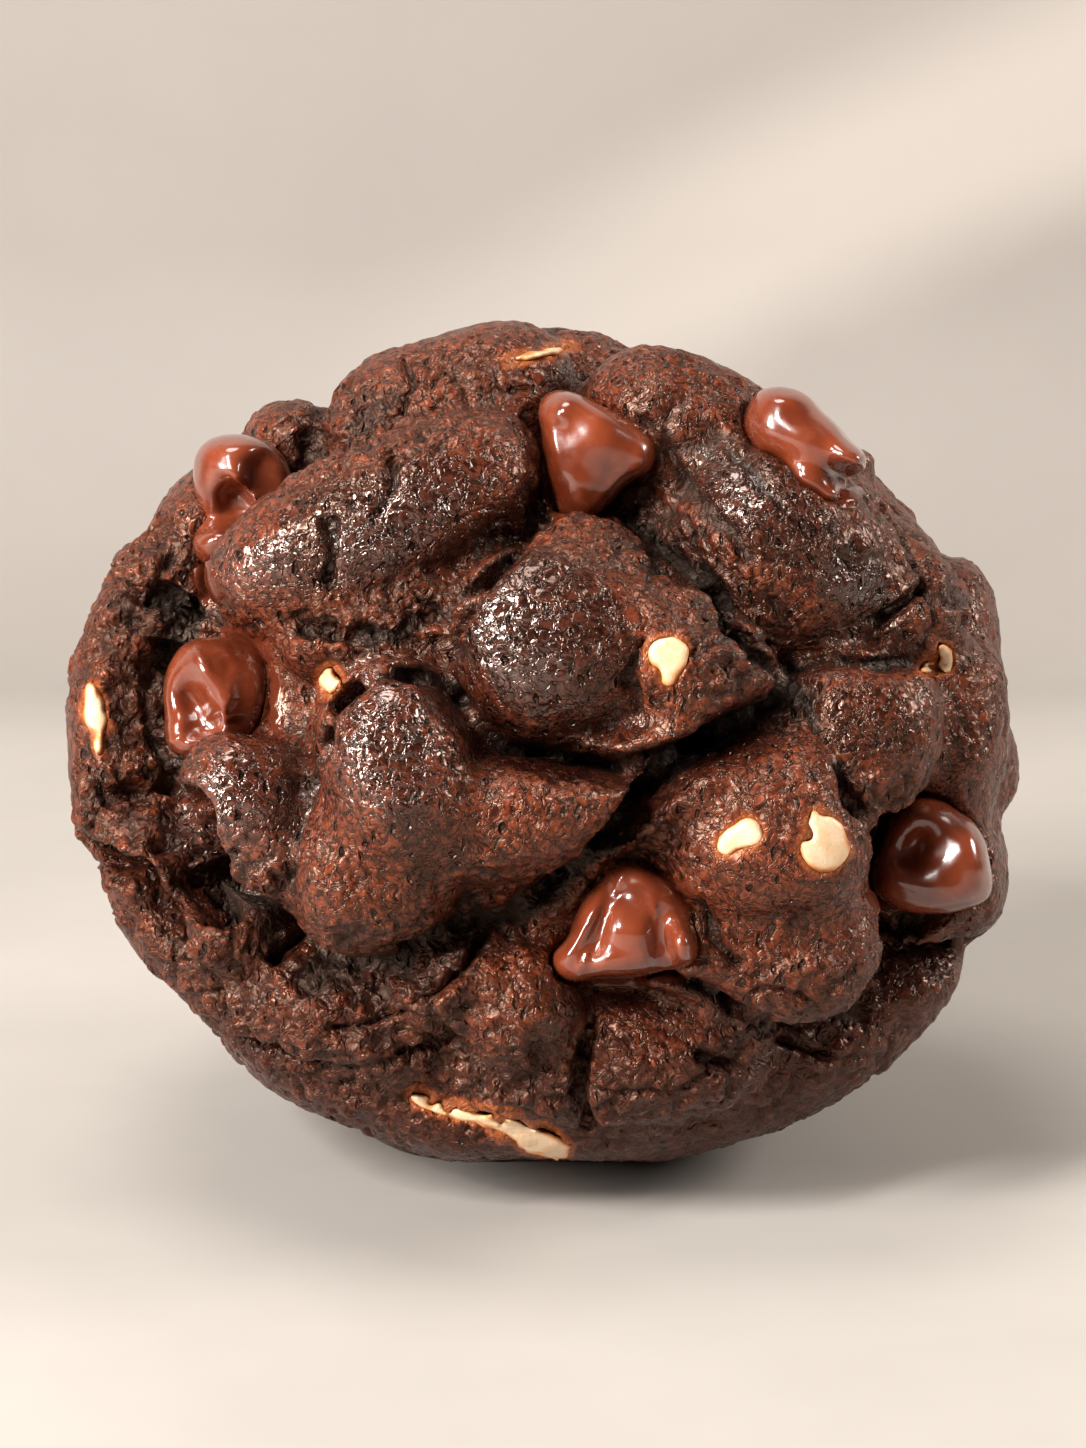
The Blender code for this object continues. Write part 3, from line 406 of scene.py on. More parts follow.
def dough_lumps():
    lumps = [
        Lump(MIDDLE, np.eye(3), CORE),
        Lump(BELLY[0], np.eye(3), BELLY[1], power=2.0, blend=3.0),
        Lump(SEAT[0], np.eye(3), SEAT[1], power=2.2, blend=5.0),
    ]
    for _, x, y, half_w, half_h, roll, thickness, stand_out in FRONT_LOBES:
        lumps.append(front_lump(
            x, y, half_w, half_h, roll, thickness * UNIT, guide_range(x, y), stand_out, power=LOBE_POWER,
        ))
    chance = np.random.default_rng(SEED)
    for direction in REAR_WAYS:
        facing = -direction @ AHEAD
        sizes = chance.uniform(*REAR_SIZE, 2)
        thickness = chance.uniform(*REAR_THICKNESS)
        stand_out = chance.uniform(*REAR_STAND_OUT) - 3.0 * max(0.0, 1.0 - abs(facing) / 0.45)
        roll = chance.uniform(0.0, 180.0)
        if facing < REAR_FROM and direction[2] > -0.86:
            lumps.append(rear_lump(direction, *sizes, roll, thickness, stand_out, power=LOBE_POWER))
    return lumps


def rear_ways():
    chance = np.random.default_rng(SEED + 1)
    step = np.arange(REAR_LOBES)
    height = 1.0 - 2.0 * (step + 0.5) / REAR_LOBES
    angle = step * math.pi * (3.0 - math.sqrt(5.0))
    flat = np.sqrt(1.0 - height**2)
    ways = np.stack([flat * np.cos(angle), flat * np.sin(angle), height], axis=1)
    ways += chance.uniform(-REAR_SHAKE, REAR_SHAKE, ways.shape)
    return ways / np.linalg.norm(ways, axis=1)[:, None]


REAR_WAYS = rear_ways()
DOUGH = dough_lumps()


def to_guide(points):
    away = points - MIDDLE
    return MIDDLE + away / np.sqrt(((away / GUIDE) ** 2).sum(axis=1) + 1e-9)[:, None]


def on_guide_line(sheet):
    """Points of the sheet carried to the lobes and from there to the guide ellipsoid."""
    line_points = []
    for x, y in sheet:
        line = sight(x, y)
        near = guide_range(x, y) - 8.0
        steps = np.arange(near, near + 40.0, 0.5)
        inside = np.nonzero(blended(EYE + steps[:, None] * line, DOUGH) < 0.0)[0]
        reach = steps[inside[0]] if len(inside) else near + 8.0
        line_points.append(to_guide((EYE + line * reach)[None])[0])
    return np.array(line_points)


VALLEY_LINES = [(VALLEY_WIDTH * half_width, depth, on_guide_line(sheet)) for _, half_width, depth, sheet in VALLEYS]
CRACK_LINES = [(half_width, depth, on_guide_line(sheet)) for half_width, depth, sheet in CRACKS]


def off_line(points, line):
    """Distance from each point to a polyline."""
    distance = np.full(len(points), 1e3)
    for a, b in zip(line[:-1], line[1:]):
        along = np.clip((points - a) @ (b - a) / ((b - a) @ (b - a)), 0.0, 1.0)
        distance = np.minimum(distance, np.linalg.norm(points - a - along[:, None] * (b - a), axis=1))
    return distance


def valley_cut(points):
    on_guide = to_guide(points)
    below = np.linalg.norm(on_guide - MIDDLE, axis=1) - np.linalg.norm(points - MIDDLE, axis=1)
    wander = VALLEY_WOBBLE[1] * noise(on_guide, VALLEY_WOBBLE[0], 9.1)
    total = np.full(len(points), -1e3)
    for half_width, depth, line in VALLEY_LINES:
        low, high = line.min(axis=0) - half_width - 2.0, line.max(axis=0) + half_width + 2.0
        near = np.nonzero(((on_guide > low) & (on_guide < high)).all(axis=1) & (below < depth + 5.0))[0]
        if not len(near):
            continue
        distance = off_line(on_guide[near], line)
        open_to = half_width * np.minimum((depth + 2.5 - below[near]) / (depth + 2.5), 1.5)
        total[near] = np.maximum(total[near], open_to - distance - wander[near])
    return np.maximum(total, rear_cut(points, on_guide, below))


def rear_cut(points, on_guide, below):
    total = np.full(len(points), -1e3)
    facing = -(on_guide - MIDDLE) @ AHEAD / GUIDE[1]
    near = np.nonzero((facing < REAR_FROM + 0.12) & (below < REAR_FOLD[1] + 5.0))[0]
    local = on_guide[near]
    first, second = np.full(len(near), 1e3), np.full(len(near), 1e3)
    for way in REAR_WAYS:
        away = np.linalg.norm(local - (MIDDLE + way * GUIDE), axis=1)
        second = np.minimum(second, np.maximum(first, away))
        first = np.minimum(first, away)
    strength = np.clip(0.75 + 0.9 * noise(local, 17.0, 5.3), 0.0, 1.0)
    strength = strength * np.clip((REAR_FROM + 0.1 - facing[near]) / 0.25, 0.0, 1.0)
    strength = strength * np.clip((local[:, 2] - 8.0) / 6.0, 0.0, 1.0)
    half_width, depth = REAR_FOLD[0] * (0.4 + 0.6 * strength), REAR_FOLD[1] * strength + 0.6
    open_to = half_width * np.minimum((depth - below[near]) / depth, 1.5)
    wander = 0.9 * noise(local, 5.5, 2.2)
    total[near] = open_to - (second - first) / 2.0 - wander - 4.0 * np.clip(0.5 - strength, 0.0, 0.5)
    return total


def dough_field(points):
    total, cut = blended(points, DOUGH), valley_cut(points)
    mix = np.maximum(VALLEY_RIM - np.abs(total - cut), 0.0) / VALLEY_RIM
    total = np.maximum(total, cut) + mix * mix * VALLEY_RIM / 4.0
    for number, (wavelength, depth) in enumerate(RELIEF):
        total = total - depth * noise(points, wavelength, 3.7 * number)
    return total


def seated_field(points):
    """The dough with its flat seat."""
    return np.maximum(dough_field(points), 0.02 - points[:, 2])


def skin_along(start, line, near, far):
    steps = np.arange(near, far, 0.25)
    value = dough_field(start + steps[:, None] * line)
    inside = np.nonzero(value < 0.0)[0]
    return steps[inside[0]] if len(inside) else None


def chip_lumps(anchor, parts):
    x, y = anchor
    guess = guide_range(x, y)
    skin = skin_along(EYE, sight(x, y), guess - 12.0, guess + 30.0)
    return [
        front_lump(x + dx, y - dy, half_w, half_h, roll, thickness, skin, stand_out,
                   power=2.15, blend=CHIP_BLEND, sign=sign)
        for dx, dy, half_w, half_h, roll, thickness, stand_out, sign in parts
    ]


def rear_piece_lumps(compass, height, half_a, half_b, roll, thickness, stand_out, dollop):
    turn, rise = math.radians(compass), math.radians(height)
    direction = np.array([
        math.sin(turn) * math.cos(rise), -math.cos(turn) * math.cos(rise), math.sin(rise),
    ])
    reach = direction * GUIDE
    far = np.linalg.norm(reach) + 8.0
    line = -reach / np.linalg.norm(reach)
    start = MIDDLE - line * far
    skin = start + line * skin_along(start, line, 0.0, 24.0)
    body = rear_lump(direction, half_a, half_b, roll, thickness, stand_out, skin, power=2.2, blend=CHIP_BLEND)
    if not dollop:
        return [body]
    tip = Lump(
        body.centre + body.axes[0] * half_a * 0.45 + body.axes[1] * half_b * 0.35 + body.axes[2] * 0.8,
        body.axes, (half_a * 0.62, half_b * 0.6, thickness * 0.82), power=2.15, blend=CHIP_BLEND,
    )
    hollow = Lump(
        body.centre + body.axes[0] * -half_a * 0.25 + body.axes[2] * (thickness + 1.4),
        body.axes, (half_a * 0.42, half_b * 0.34, 3.0), power=2.0, blend=CHIP_BLEND, sign=-1,
    )
    return [body, tip, hollow]


# ---------------------------------------------------------------- surfaces from fields
def joined_corners(inside):
    left = {corner for corner in range(8) if inside >> corner & 1}
    if not left:
        return True
    reached, front = set(), [min(left)]
    while front:
        corner = front.pop()
        reached.add(corner)
        front += [corner ^ bit for bit in (1, 2, 4) if corner ^ bit in left - reached]
    return reached == left


def pinched_cells():
    pinched = np.zeros(256, bool)
    for inside in range(256):
        crossed = False
        for a, b in ((1, 2), (2, 4), (1, 4)):
            for base in (0, 7 - a - b):
                face = [inside >> (base + step) & 1 for step in (0, a, a + b, b)]
                crossed |= face in ([1, 0, 1, 0], [0, 1, 0, 1])
        pinched[inside] = crossed or not joined_corners(inside) or not joined_corners(255 - inside)
    return pinched


CORNERS = [(corner & 1, corner >> 1 & 1, corner >> 2) for corner in range(8)]
PINCHED = pinched_cells()


def cells_of(values, step):
    return values[tuple(slice(s, values.shape[axis] - 1 + s) for axis, s in enumerate(step))]


def lattice_values(field, axes, pitch, stride=3, band=3.6):
    """The field on a lattice, exact near the surface and rough away from it."""
    shape = tuple(len(axis) for axis in axes)
    coarse = [axis[::stride] for axis in axes]
    points = np.stack(np.meshgrid(*coarse, indexing="ij"), axis=-1).reshape(-1, 3)
    rough = field(points).reshape(tuple(len(axis) for axis in coarse))
    nearest = [np.minimum((np.arange(n) + stride // 2) // stride, len(c) - 1) for n, c in zip(shape, coarse)]
    values = rough[np.ix_(*nearest)].copy()
    near = np.argwhere(np.abs(values) < band * max(1.0, stride * pitch / 2.7))
    values[tuple(near.T)] = field(np.stack([axes[n][near[:, n]] for n in range(3)], axis=1))
    return values


def skin_mesh(field, low, high, pitch, stride=3, band=3.6):
    """Points and quads of the surface where the field is zero."""
    axes = [np.arange(a, b + pitch, pitch) for a, b in zip(low, high)]
    shape = tuple(len(axis) for axis in axes)
    if stride > 1:
        values = lattice_values(field, axes, pitch, stride, band)
    else:
        lattice = np.stack(np.meshgrid(*axes, indexing="ij"), axis=-1).reshape(-1, 3)
        values = field(lattice).reshape(shape)
    values[np.abs(values) < 1e-4] = 1e-4
    while True:
        code = sum((cells_of(values, step) < 0).astype(int) << number for number, step in enumerate(CORNERS))
        bad = np.argwhere(PINCHED[code])
        if not len(bad):
            break
        for step in CORNERS:
            at = tuple((bad + step).T)
            values[at] = np.minimum(values[at], -0.05 * pitch)
    cells = np.argwhere((code > 0) & (code < 255))
    number_of = np.full(tuple(n - 1 for n in shape), -1)
    number_of[tuple(cells.T)] = np.arange(len(cells))
    corner = [values[tuple((cells + step).T)] for step in CORNERS]
    total, count = np.zeros((len(cells), 3)), np.zeros(len(cells))
    for a in range(8):
        for bit in (1, 2, 4):
            b = a | bit
            if b == a:
                continue
            crossed = (corner[a] < 0) != (corner[b] < 0)
            share = corner[a] / np.where(crossed, corner[a] - corner[b], 1.0)
            spot = np.array(CORNERS[a]) + share[:, None] * (np.array(CORNERS[b]) - CORNERS[a])
            total += spot * crossed[:, None]
            count += crossed
    points = np.array(low) + (cells + total / count[:, None]) * pitch
    quads = []
    for axis in range(3):
        u, v = (axis + 1) % 3, (axis + 2) % 3
        lower = values[tuple(slice(0, -1) if n == axis else slice(None) for n in range(3))] < 0
        upper = values[tuple(slice(1, None) if n == axis else slice(None) for n in range(3))] < 0
        edges = np.argwhere(lower != upper)
        out = lower[tuple(edges.T)]
        ring = []
        for du, dv in ((1, 1), (0, 1), (0, 0), (1, 0)):
            cell = edges.copy()
            cell[:, u] -= du
            cell[:, v] -= dv
            ring.append(number_of[tuple(cell.T)])
        ring = np.stack(ring, axis=1)
        quads.append(np.where(out[:, None], ring, ring[:, ::-1]))
    return points, np.concatenate(quads)


def largest_piece(points, quads):
    label = np.arange(len(points))
    while True:
        lowest = label[quads].min(axis=1)
        new = label.copy()
        for corner in range(4):
            np.minimum.at(new, quads[:, corner], lowest)
        new = new[new]
        if (new == label).all():
            break
        label = new
    names, sizes = np.unique(label, return_counts=True)
    keep = label == names[sizes.argmax()]
    number_of = np.cumsum(keep) - 1
    return points[keep], number_of[quads[keep[quads].all(axis=1)]]


def divided(points, quads):
    """Each quad split in four."""
    edges = np.sort(np.concatenate([quads[:, [n, (n + 1) % 4]] for n in range(4)]), axis=1)
    unique, back = np.unique(edges, axis=0, return_inverse=True)
    back = back.reshape(4, len(quads))
    count = len(points)
    centres = points[quads].mean(axis=1)
    middles = points[unique].mean(axis=1)
    e = [count + back[n] for n in range(4)]
    c = count + len(unique) + np.arange(len(quads))
    q = [quads[:, n] for n in range(4)]
    parts = [np.stack([q[n], e[n], c, e[n - 1]], axis=1) for n in range(4)]
    return np.concatenate([points, middles, centres]), np.concatenate(parts)


def eased(points, quads, rounds, amount=0.5):
    """Points moved towards the mean of the faces around them."""
    for _ in range(rounds):
        centres = points[quads].mean(axis=1)
        total, count = np.zeros_like(points), np.zeros(len(points))
        for n in range(4):
            np.add.at(total, quads[:, n], centres)
            np.add.at(count, quads[:, n], 1.0)
        points = points + amount * (total / count[:, None] - points)
    return points


def normals_of(points, quads):
    across = np.cross(points[quads[:, 2]] - points[quads[:, 0]], points[quads[:, 3]] - points[quads[:, 1]])
    total = np.zeros_like(points)
    for n in range(4):
        np.add.at(total, quads[:, n], across)
    return total / np.maximum(np.linalg.norm(total, axis=1), 1e-12)[:, None]


# ---------------------------------------------------------------- patterns over the crust
DICE = np.random.default_rng(SEED + 7).uniform(0.0, 1.0, (32, 32, 32, 4))


def cells(points, size):
    """Distances to the nearest and second nearest of scattered points, and the nearest's dice."""
    at = points / size
    base = np.floor(at).astype(int)
    first, second = np.full(len(at), 1e3), np.full(len(at), 1e3)
    dice = np.zeros((len(at), 4))
    for i in (-1, 0, 1):
        for j in (-1, 0, 1):
            for k in (-1, 0, 1):
                cell = base + (i, j, k)
                roll = DICE[tuple((cell % 32).T)]
                away = np.linalg.norm(cell + 0.1 + 0.8 * roll[:, :3] - at, axis=1)
                closer = away < first
                second = np.where(closer, first, np.minimum(second, away))
                first = np.where(closer, away, first)
                dice[closer] = roll[closer]
    return first * size, second * size, dice


def ramp(value, low, high):
    t = np.clip((value - low) / (high - low), 0.0, 1.0)
    return t * t * (3.0 - 2.0 * t)


def on_sheet(points):
    """Where a point shows on the front-view sheet."""
    away = points - EYE
    depth = away @ AHEAD
    x = SHEET_MIDDLE[0] + (away @ RIGHT) / depth * VIEW_RANGE / UNIT
    y = SHEET_MIDDLE[1] - (away @ UP) / depth * VIEW_RANGE / UNIT
    return x, y


def patch(x, y, cx, cy, half_w, half_h, roll=0.0, soft=0.5):
    """1 inside an ellipse of the sheet, fading to 0 around it."""
    turn = math.radians(roll)
    u = ((x - cx) * math.cos(turn) - (y - cy) * math.sin(turn)) / half_w
    v = ((x - cx) * math.sin(turn) + (y - cy) * math.cos(turn)) / half_h
    return 1.0 - ramp(np.sqrt(u * u + v * v), 1.0 - soft, 1.0 + soft)


def rounded(px, py, cx, cy, half_w, half_h, roll):
    """Signed distance on the sheet, in mm, to an ellipse turned by `roll`."""
    turn = math.radians(roll)
    u = ((px - cx) * math.cos(turn) - (py - cy) * math.sin(turn)) / half_w
    v = (-(px - cx) * math.sin(turn) - (py - cy) * math.cos(turn)) / half_h
    size = np.sqrt(u * u + v * v) + 1e-6
    slope = np.sqrt((u / half_w) ** 2 + (v / half_h) ** 2) / size
    return (size - 1.0) / np.maximum(slope, 0.2 / max(half_w, half_h)) * UNIT


def white_outline(points, anchor, patches, nibbles):
    """Signed distance, in mm across the view, to a white piece's outline."""
    px, py = on_sheet(points)
    total = np.full(len(points), 1e3)
    for dx, dy, half_w, half_h, roll in patches:
        one = rounded(px, py, anchor[0] + dx, anchor[1] - dy, half_w, half_h, roll)
        mix = np.maximum(0.8 - np.abs(total - one), 0.0) / 0.8
        total = np.minimum(total, one) - mix * mix * 0.2
    for dx, dy, half_w, half_h, roll in nibbles:
        one = -rounded(px, py, anchor[0] + dx, anchor[1] - dy, half_w, half_h, roll)
        mix = np.maximum(0.4 - np.abs(total - one), 0.0) / 0.4
        total = np.maximum(total, one) + mix * mix * 0.1
    return total


# ---------------------------------------------------------------- building meshes
def mesh_object(name, points, quads, attributes=None):
    mesh = bpy.data.meshes.new(name)
    mesh.vertices.add(len(points))
    mesh.vertices.foreach_set("co", (points * MM).astype(np.float32).ravel())
    mesh.loops.add(len(quads) * 4)
    mesh.loops.foreach_set("vertex_index", quads.astype(np.int32).ravel())
    mesh.polygons.add(len(quads))
    mesh.polygons.foreach_set("loop_start", np.arange(0, len(quads) * 4, 4, dtype=np.int32))
    mesh.polygons.foreach_set("loop_total", np.full(len(quads), 4, np.int32))
    mesh.update(calc_edges=True)
    mesh.validate()
    for label, values in (attributes or {}).items():
        layer = mesh.attributes.new(label, "FLOAT", "POINT")
        layer.data.foreach_set("value", values.astype(np.float32))
    obj = bpy.data.objects.new(name, mesh)
    bpy.context.scene.collection.objects.link(obj)
    return obj


def baked(obj):
    """The object's mesh with its modifiers applied."""
    bpy.context.view_layer.update()
    graph = bpy.context.evaluated_depsgraph_get()
    mesh = bpy.data.meshes.new_from_object(obj.evaluated_get(graph))
    obj.modifiers.clear()
    old = obj.data
    obj.data = mesh
    bpy.data.meshes.remove(old)
    mesh.name = obj.name
    mesh.shade_smooth()
    return obj


def dough_object():
    low, high = (-49.0, -49.0, -2.0), (49.0, 48.0, 82.0)
    points, quads = largest_piece(*skin_mesh(seated_field, low, high, PITCH))
    points = eased(points, quads, 1)
    points, quads = divided(points, quads)
    points = eased(points, quads, 1)
    points = settle(points, seated_field, 2)
    points = eased(points, quads, 1, 0.3)
    way = eased(normals_of(points, quads), quads, 2)
    way /= np.linalg.norm(way, axis=1)[:, None]
    x, y = on_sheet(points)
    front = ramp(-way @ AHEAD, -0.1, 0.25) * (1.0 - ramp((points - MIDDLE) @ AHEAD, 4.0, 9.0))

    # How open each place is: little inside a fold, much on a lobe's top.
    open_near = np.clip(dough_field(points + 2.2 * way) / 2.2, 0.0, 1.2)
    open_far = np.clip(dough_field(points + 6.5 * way) / 6.5, 0.0, 1.2)
    openness = ramp(0.5 * open_near + 0.5 * open_far, 0.25, 0.9)

    # Warped copies of the points make the cracks run unevenly.
    warp = np.stack([noise(points, 3.1, s) for s in (1.3, 5.7, 9.9)], axis=1)
    warp += 0.5 * np.stack([noise(points, 1.3, s) for s in (2.3, 6.7, 8.9)], axis=1)
    bent = points + 0.75 * warp
    on_guide = to_guide(points)
    wander = 0.4 * warp[:, 0]

    # Painted shade deep in the folds, where no light comes: 1 along their floors, 0 on the lobes.
    cleft_shade = np.zeros(len(points))
    for half_width, depth, line in VALLEY_LINES:
        near = np.nonzero(
            ((on_guide > line.min(axis=0) - 6.0) & (on_guide < line.max(axis=0) + 6.0)).all(axis=1)
        )[0]
        if len(near):
            off = np.abs(off_line(on_guide[near], line) + wander[near])
            deep = 1.0 - ramp(off, 0.3 * half_width, 0.8 * half_width + 0.4)
            cleft_shade[near] = np.maximum(cleft_shade[near], deep * min(1.0, 0.1 + depth / 7.5))
    cleft_shade *= front

    # Where the crust is coarse crumb, and where it has baked to a dark, shiny skin.
    broad = noise(points, 13.0, 4.4)
    medium = noise(points, 5.0, 1.9)
    fine = noise(points, 2.1, 6.3)
    crust_spots = (
        (385, 515, 130, 54, 27, 0.95), (535, 636, 74, 92, 12, 1.15), (600, 640, 44, 50, 0, 0.4),
        (390, 752, 50, 76, 18, 0.6), (250, 795, 44, 46, 0, 0.5), (660, 400, 50, 30, -28, 0.35),
        (780, 520, 100, 50, -38, 1.0), (866, 716, 60, 50, 0, 0.6), (866, 590, 50, 34, -30, 0.5), (790, 880, 70, 50, 0, 0.25),
        (470, 820, 80, 34, 10, 0.3), (430, 870, 50, 50, 10, 0.25),
    )
    crust = 0.06 + 0.22 * broad
    for cx, cy, half_w, half_h, roll, strength in crust_spots:
        crust = crust + front * strength * patch(x, y, cx, cy, half_w, half_h, roll, 0.45)
    back_crust = ramp(broad + 0.3 * medium, -0.1, 0.5) * (1.0 - front)
    crust = np.clip((crust + back_crust + 0.2 * medium) * ramp(openness, 0.2, 0.8), 0.0, 1.0)
    gloss = np.zeros(len(points))
    for cx, cy, half_w, half_h, roll, strength in (
        (246, 792, 60, 56, 0, 1.0), (388, 738, 48, 68, 12, 1.0), (518, 645, 46, 62, 12, 1.0),
        (400, 522, 84, 34, 24, 0.8), (252, 560, 40, 26, 20, 0.8), (738, 486, 44, 24, -36, 0.7),
        (866, 590, 40, 20, -30, 0.8), (566, 712, 60, 16, -8, 0.6), (640, 925, 30, 40, 0, 0.4),
    ):
        gloss = np.maximum(gloss, front * strength * patch(x, y, cx, cy, half_w, half_h, roll, 0.7))
    gloss = np.clip(gloss + 0.35 * (1.0 - front) * back_crust, 0.0, 1.0)
    crumb_spots = (
        (400, 420, 120, 50, 20, 0.75), (150, 650, 70, 110, 0, 0.9), (150, 840, 90, 90, 0, 0.7),
        (330, 1010, 190, 70, -15, 0.75), (930, 740, 70, 120, 0, 0.15), 
        (390, 610, 110, 40, 12, 0.9), (820, 1010, 120, 60, 30, 0.5), (560, 1090, 260, 60, 0, 0.7),
        (560, 540, 70, 34, 0, 0.8), (720, 640, 60, 60, 30, 0.5), (450, 960, 60, 50, 30, 0.7),
        (620, 860, 60, 40, 30, 0.6),
    )
    crumb = 0.18 + 0.4 * noise(points, 9.0, 7.7)
    for cx, cy, half_w, half_h, roll, strength in crumb_spots:
        crumb = crumb + front * strength * patch(x, y, cx, cy, half_w, half_h, roll, 0.45)
    crumb = np.clip(crumb - 0.8 * crust - 0.8 * gloss, 0.0, 1.0)

    # Fibrous lobes: cells drawn out along the lobe, at upper right and on the right side.
    fibre = front * np.clip(
        0.8 * patch(x, y, 760, 500, 190, 80, -38, 0.3), 0.0, 0.6,
    )
    lean = np.where(x < 860, math.radians(-40.0), math.radians(-62.0))
    along = np.cos(lean)[:, None] * RIGHT + np.sin(lean)[:, None] * UP
    drawn = bent - 0.62 * fibre[:, None] * (bent * along).sum(axis=1)[:, None] * along

    shift = np.zeros(len(points))
    crease = np.zeros(len(points))

    def groove(edge, half_width, depth, mask):
        nonlocal shift, crease
        profile = (1.0 - ramp(edge, 0.25 * half_width, 1.25 * half_width)) * mask
        shift = shift - depth * profile
        crease = np.maximum(crease, profile * min(1.0, 0.5 + depth))

    for half_width, depth, line in CRACK_LINES:
        near = np.nonzero(
            ((on_guide > line.min(axis=0) - 3.0) & (on_guide < line.max(axis=0) + 3.0)).all(axis=1)
        )[0]
        if not len(near):
            continue
        distance = np.full(len(points), 1e3)
        distance[near] = np.abs(off_line(on_guide[near], line) + wander[near])
        groove(distance, half_width * 1.15, depth, front)

    first, second, _ = cells(drawn + 2.0, 8.0)
    broken = ramp(noise(points, 8.0, 3.1) + 0.2 * fibre + 0.35 * crumb, 0.0, 0.4)
    groove((second - first) / 2.0, 0.40, 0.80, broken * (0.2 + 0.8 * np.maximum(crumb, 0.6 * fibre)))
    first, second, dice = cells(drawn, 3.3)
    groove((second - first) / 2.0, 0.34, 0.42, ramp(medium + 0.6 * fibre + 0.7 * crumb - 0.5 * crust, 0.1, 0.7))
    shift += 0.22 * crumb * (dice[:, 3] - 0.5)
    first, second, dice = cells(drawn + 7.0, 1.6)
    edge = (second - first) / 2.0
    groove(edge, 0.27, 0.20, 0.25 + 0.75 * crumb)
    shift += (0.05 + 0.34 * crumb) * (dice[:, 3] - 0.5)
    shift += (0.04 + 0.30 * crumb) * (0.8 - first / 1.0)
    shift += 0.08 * fine + (0.05 + 0.08 * crumb) * noise(points, 1.05, 3.3)

    # Pores: small pits, most of them where the crumb is coarse.
    first, _, dice = cells(points + 11.0, 2.4)
    pit = (dice[:, 3] > 0.76 - 0.3 * crumb) * (1.0 - ramp(first, 0.2, 0.6))
    shift -= 0.6 * pit * (0.35 + 0.65 * crumb) * ramp(openness, 0.3, 0.7)
    crease = np.maximum(crease, 0.9 * pit * (0.4 + 0.6 * crumb))

    # Melted chocolate that has run over the crust smooths and glosses it.
    melt = np.zeros(len(points))
    for cx, cy, half_w, half_h, roll in MELTS:
        melt = np.maximum(melt, front * patch(x, y, cx, cy, half_w, half_h, roll, 0.35))
    melt = ramp(melt + 0.3 * fine + 0.2 * medium, 0.4, 0.6)
    shift = shift * (1.0 - 0.75 * melt) + 0.25 * melt
    crease *= 1.0 - melt

    # The crust draws back from under the pieces set in it, and browns beside white chocolate.
    toast = np.zeros(len(points))
    for values in WHITES.values():
        near = np.abs(x - values[0][0]) + np.abs(y - values[0][1]) < 160
        index = np.nonzero(near & (front > 0.05))[0]
        if len(index):
            outline = white_outline(points[index], *values)
            inside = 1.0 - ramp(outline, -0.4, 0.02)
            shift[index] = shift[index] * (1.0 - inside) - 0.9 * inside
            crease[index] *= 1.0 - inside
            ring = 1.0 - ramp(outline + 0.3 * noise(points[index], 1.3, 5.5), 0.0, 0.95)
            toast[index] = np.maximum(toast[index], ring)
    for lumps in SEATED:
        index = np.nonzero(np.linalg.norm(points - lumps[0].centre, axis=1) < 12.0)[0]
        value = blended(points[index], lumps)
        inside = 1.0 - ramp(value, -0.1, 0.5)
        shift[index] = shift[index] * (1.0 - inside) - 0.7 * inside

    shift *= ramp(points[:, 2], 0.05, 1.5)
    points = points + way * shift[:, None]
    points[:, 2] = np.maximum(points[:, 2], 0.0)
    obj = mesh_object("dough", points, quads, {
        "openness": openness, "crust": crust, "crumb": crumb, "cleft_shade": cleft_shade, "toast": toast,
        "crease": np.clip(crease, 0.0, 1.0), "melt": melt, "gloss": gloss,
    })
    triangles = 2 * len(quads)
    if triangles > DOUGH_TRIANGLES:
        thin = obj.modifiers.new("thin", "DECIMATE")
        thin.ratio = DOUGH_TRIANGLES / triangles
        thin.use_collapse_triangulate = True
    return baked(obj)


def lumps_object(name, lumps, pitch=0.32):
    solid = [lump for lump in lumps if lump.sign > 0]
    reach = max(lump.radii.max() for lump in solid) * 1.2 + 0.8
    low = np.min([lump.centre for lump in solid], axis=0) - reach
    high = np.max([lump.centre for lump in solid], axis=0) + reach
    points, quads = largest_piece(*skin_mesh(lambda p: blended(p, lumps), low, high, pitch, 3, 1.5))
    points = eased(points, quads, 2)
    points = settle(points, lambda p: blended(p, lumps), 2)
    points = eased(points, quads, 1, 0.4)
    way = normals_of(points, quads)
    sag = 0.07 * noise(points, 3.4, 2.6) + 0.02 * noise(points, 1.6, 4.6)
    return baked(mesh_object(name, points + way * sag[:, None], quads))


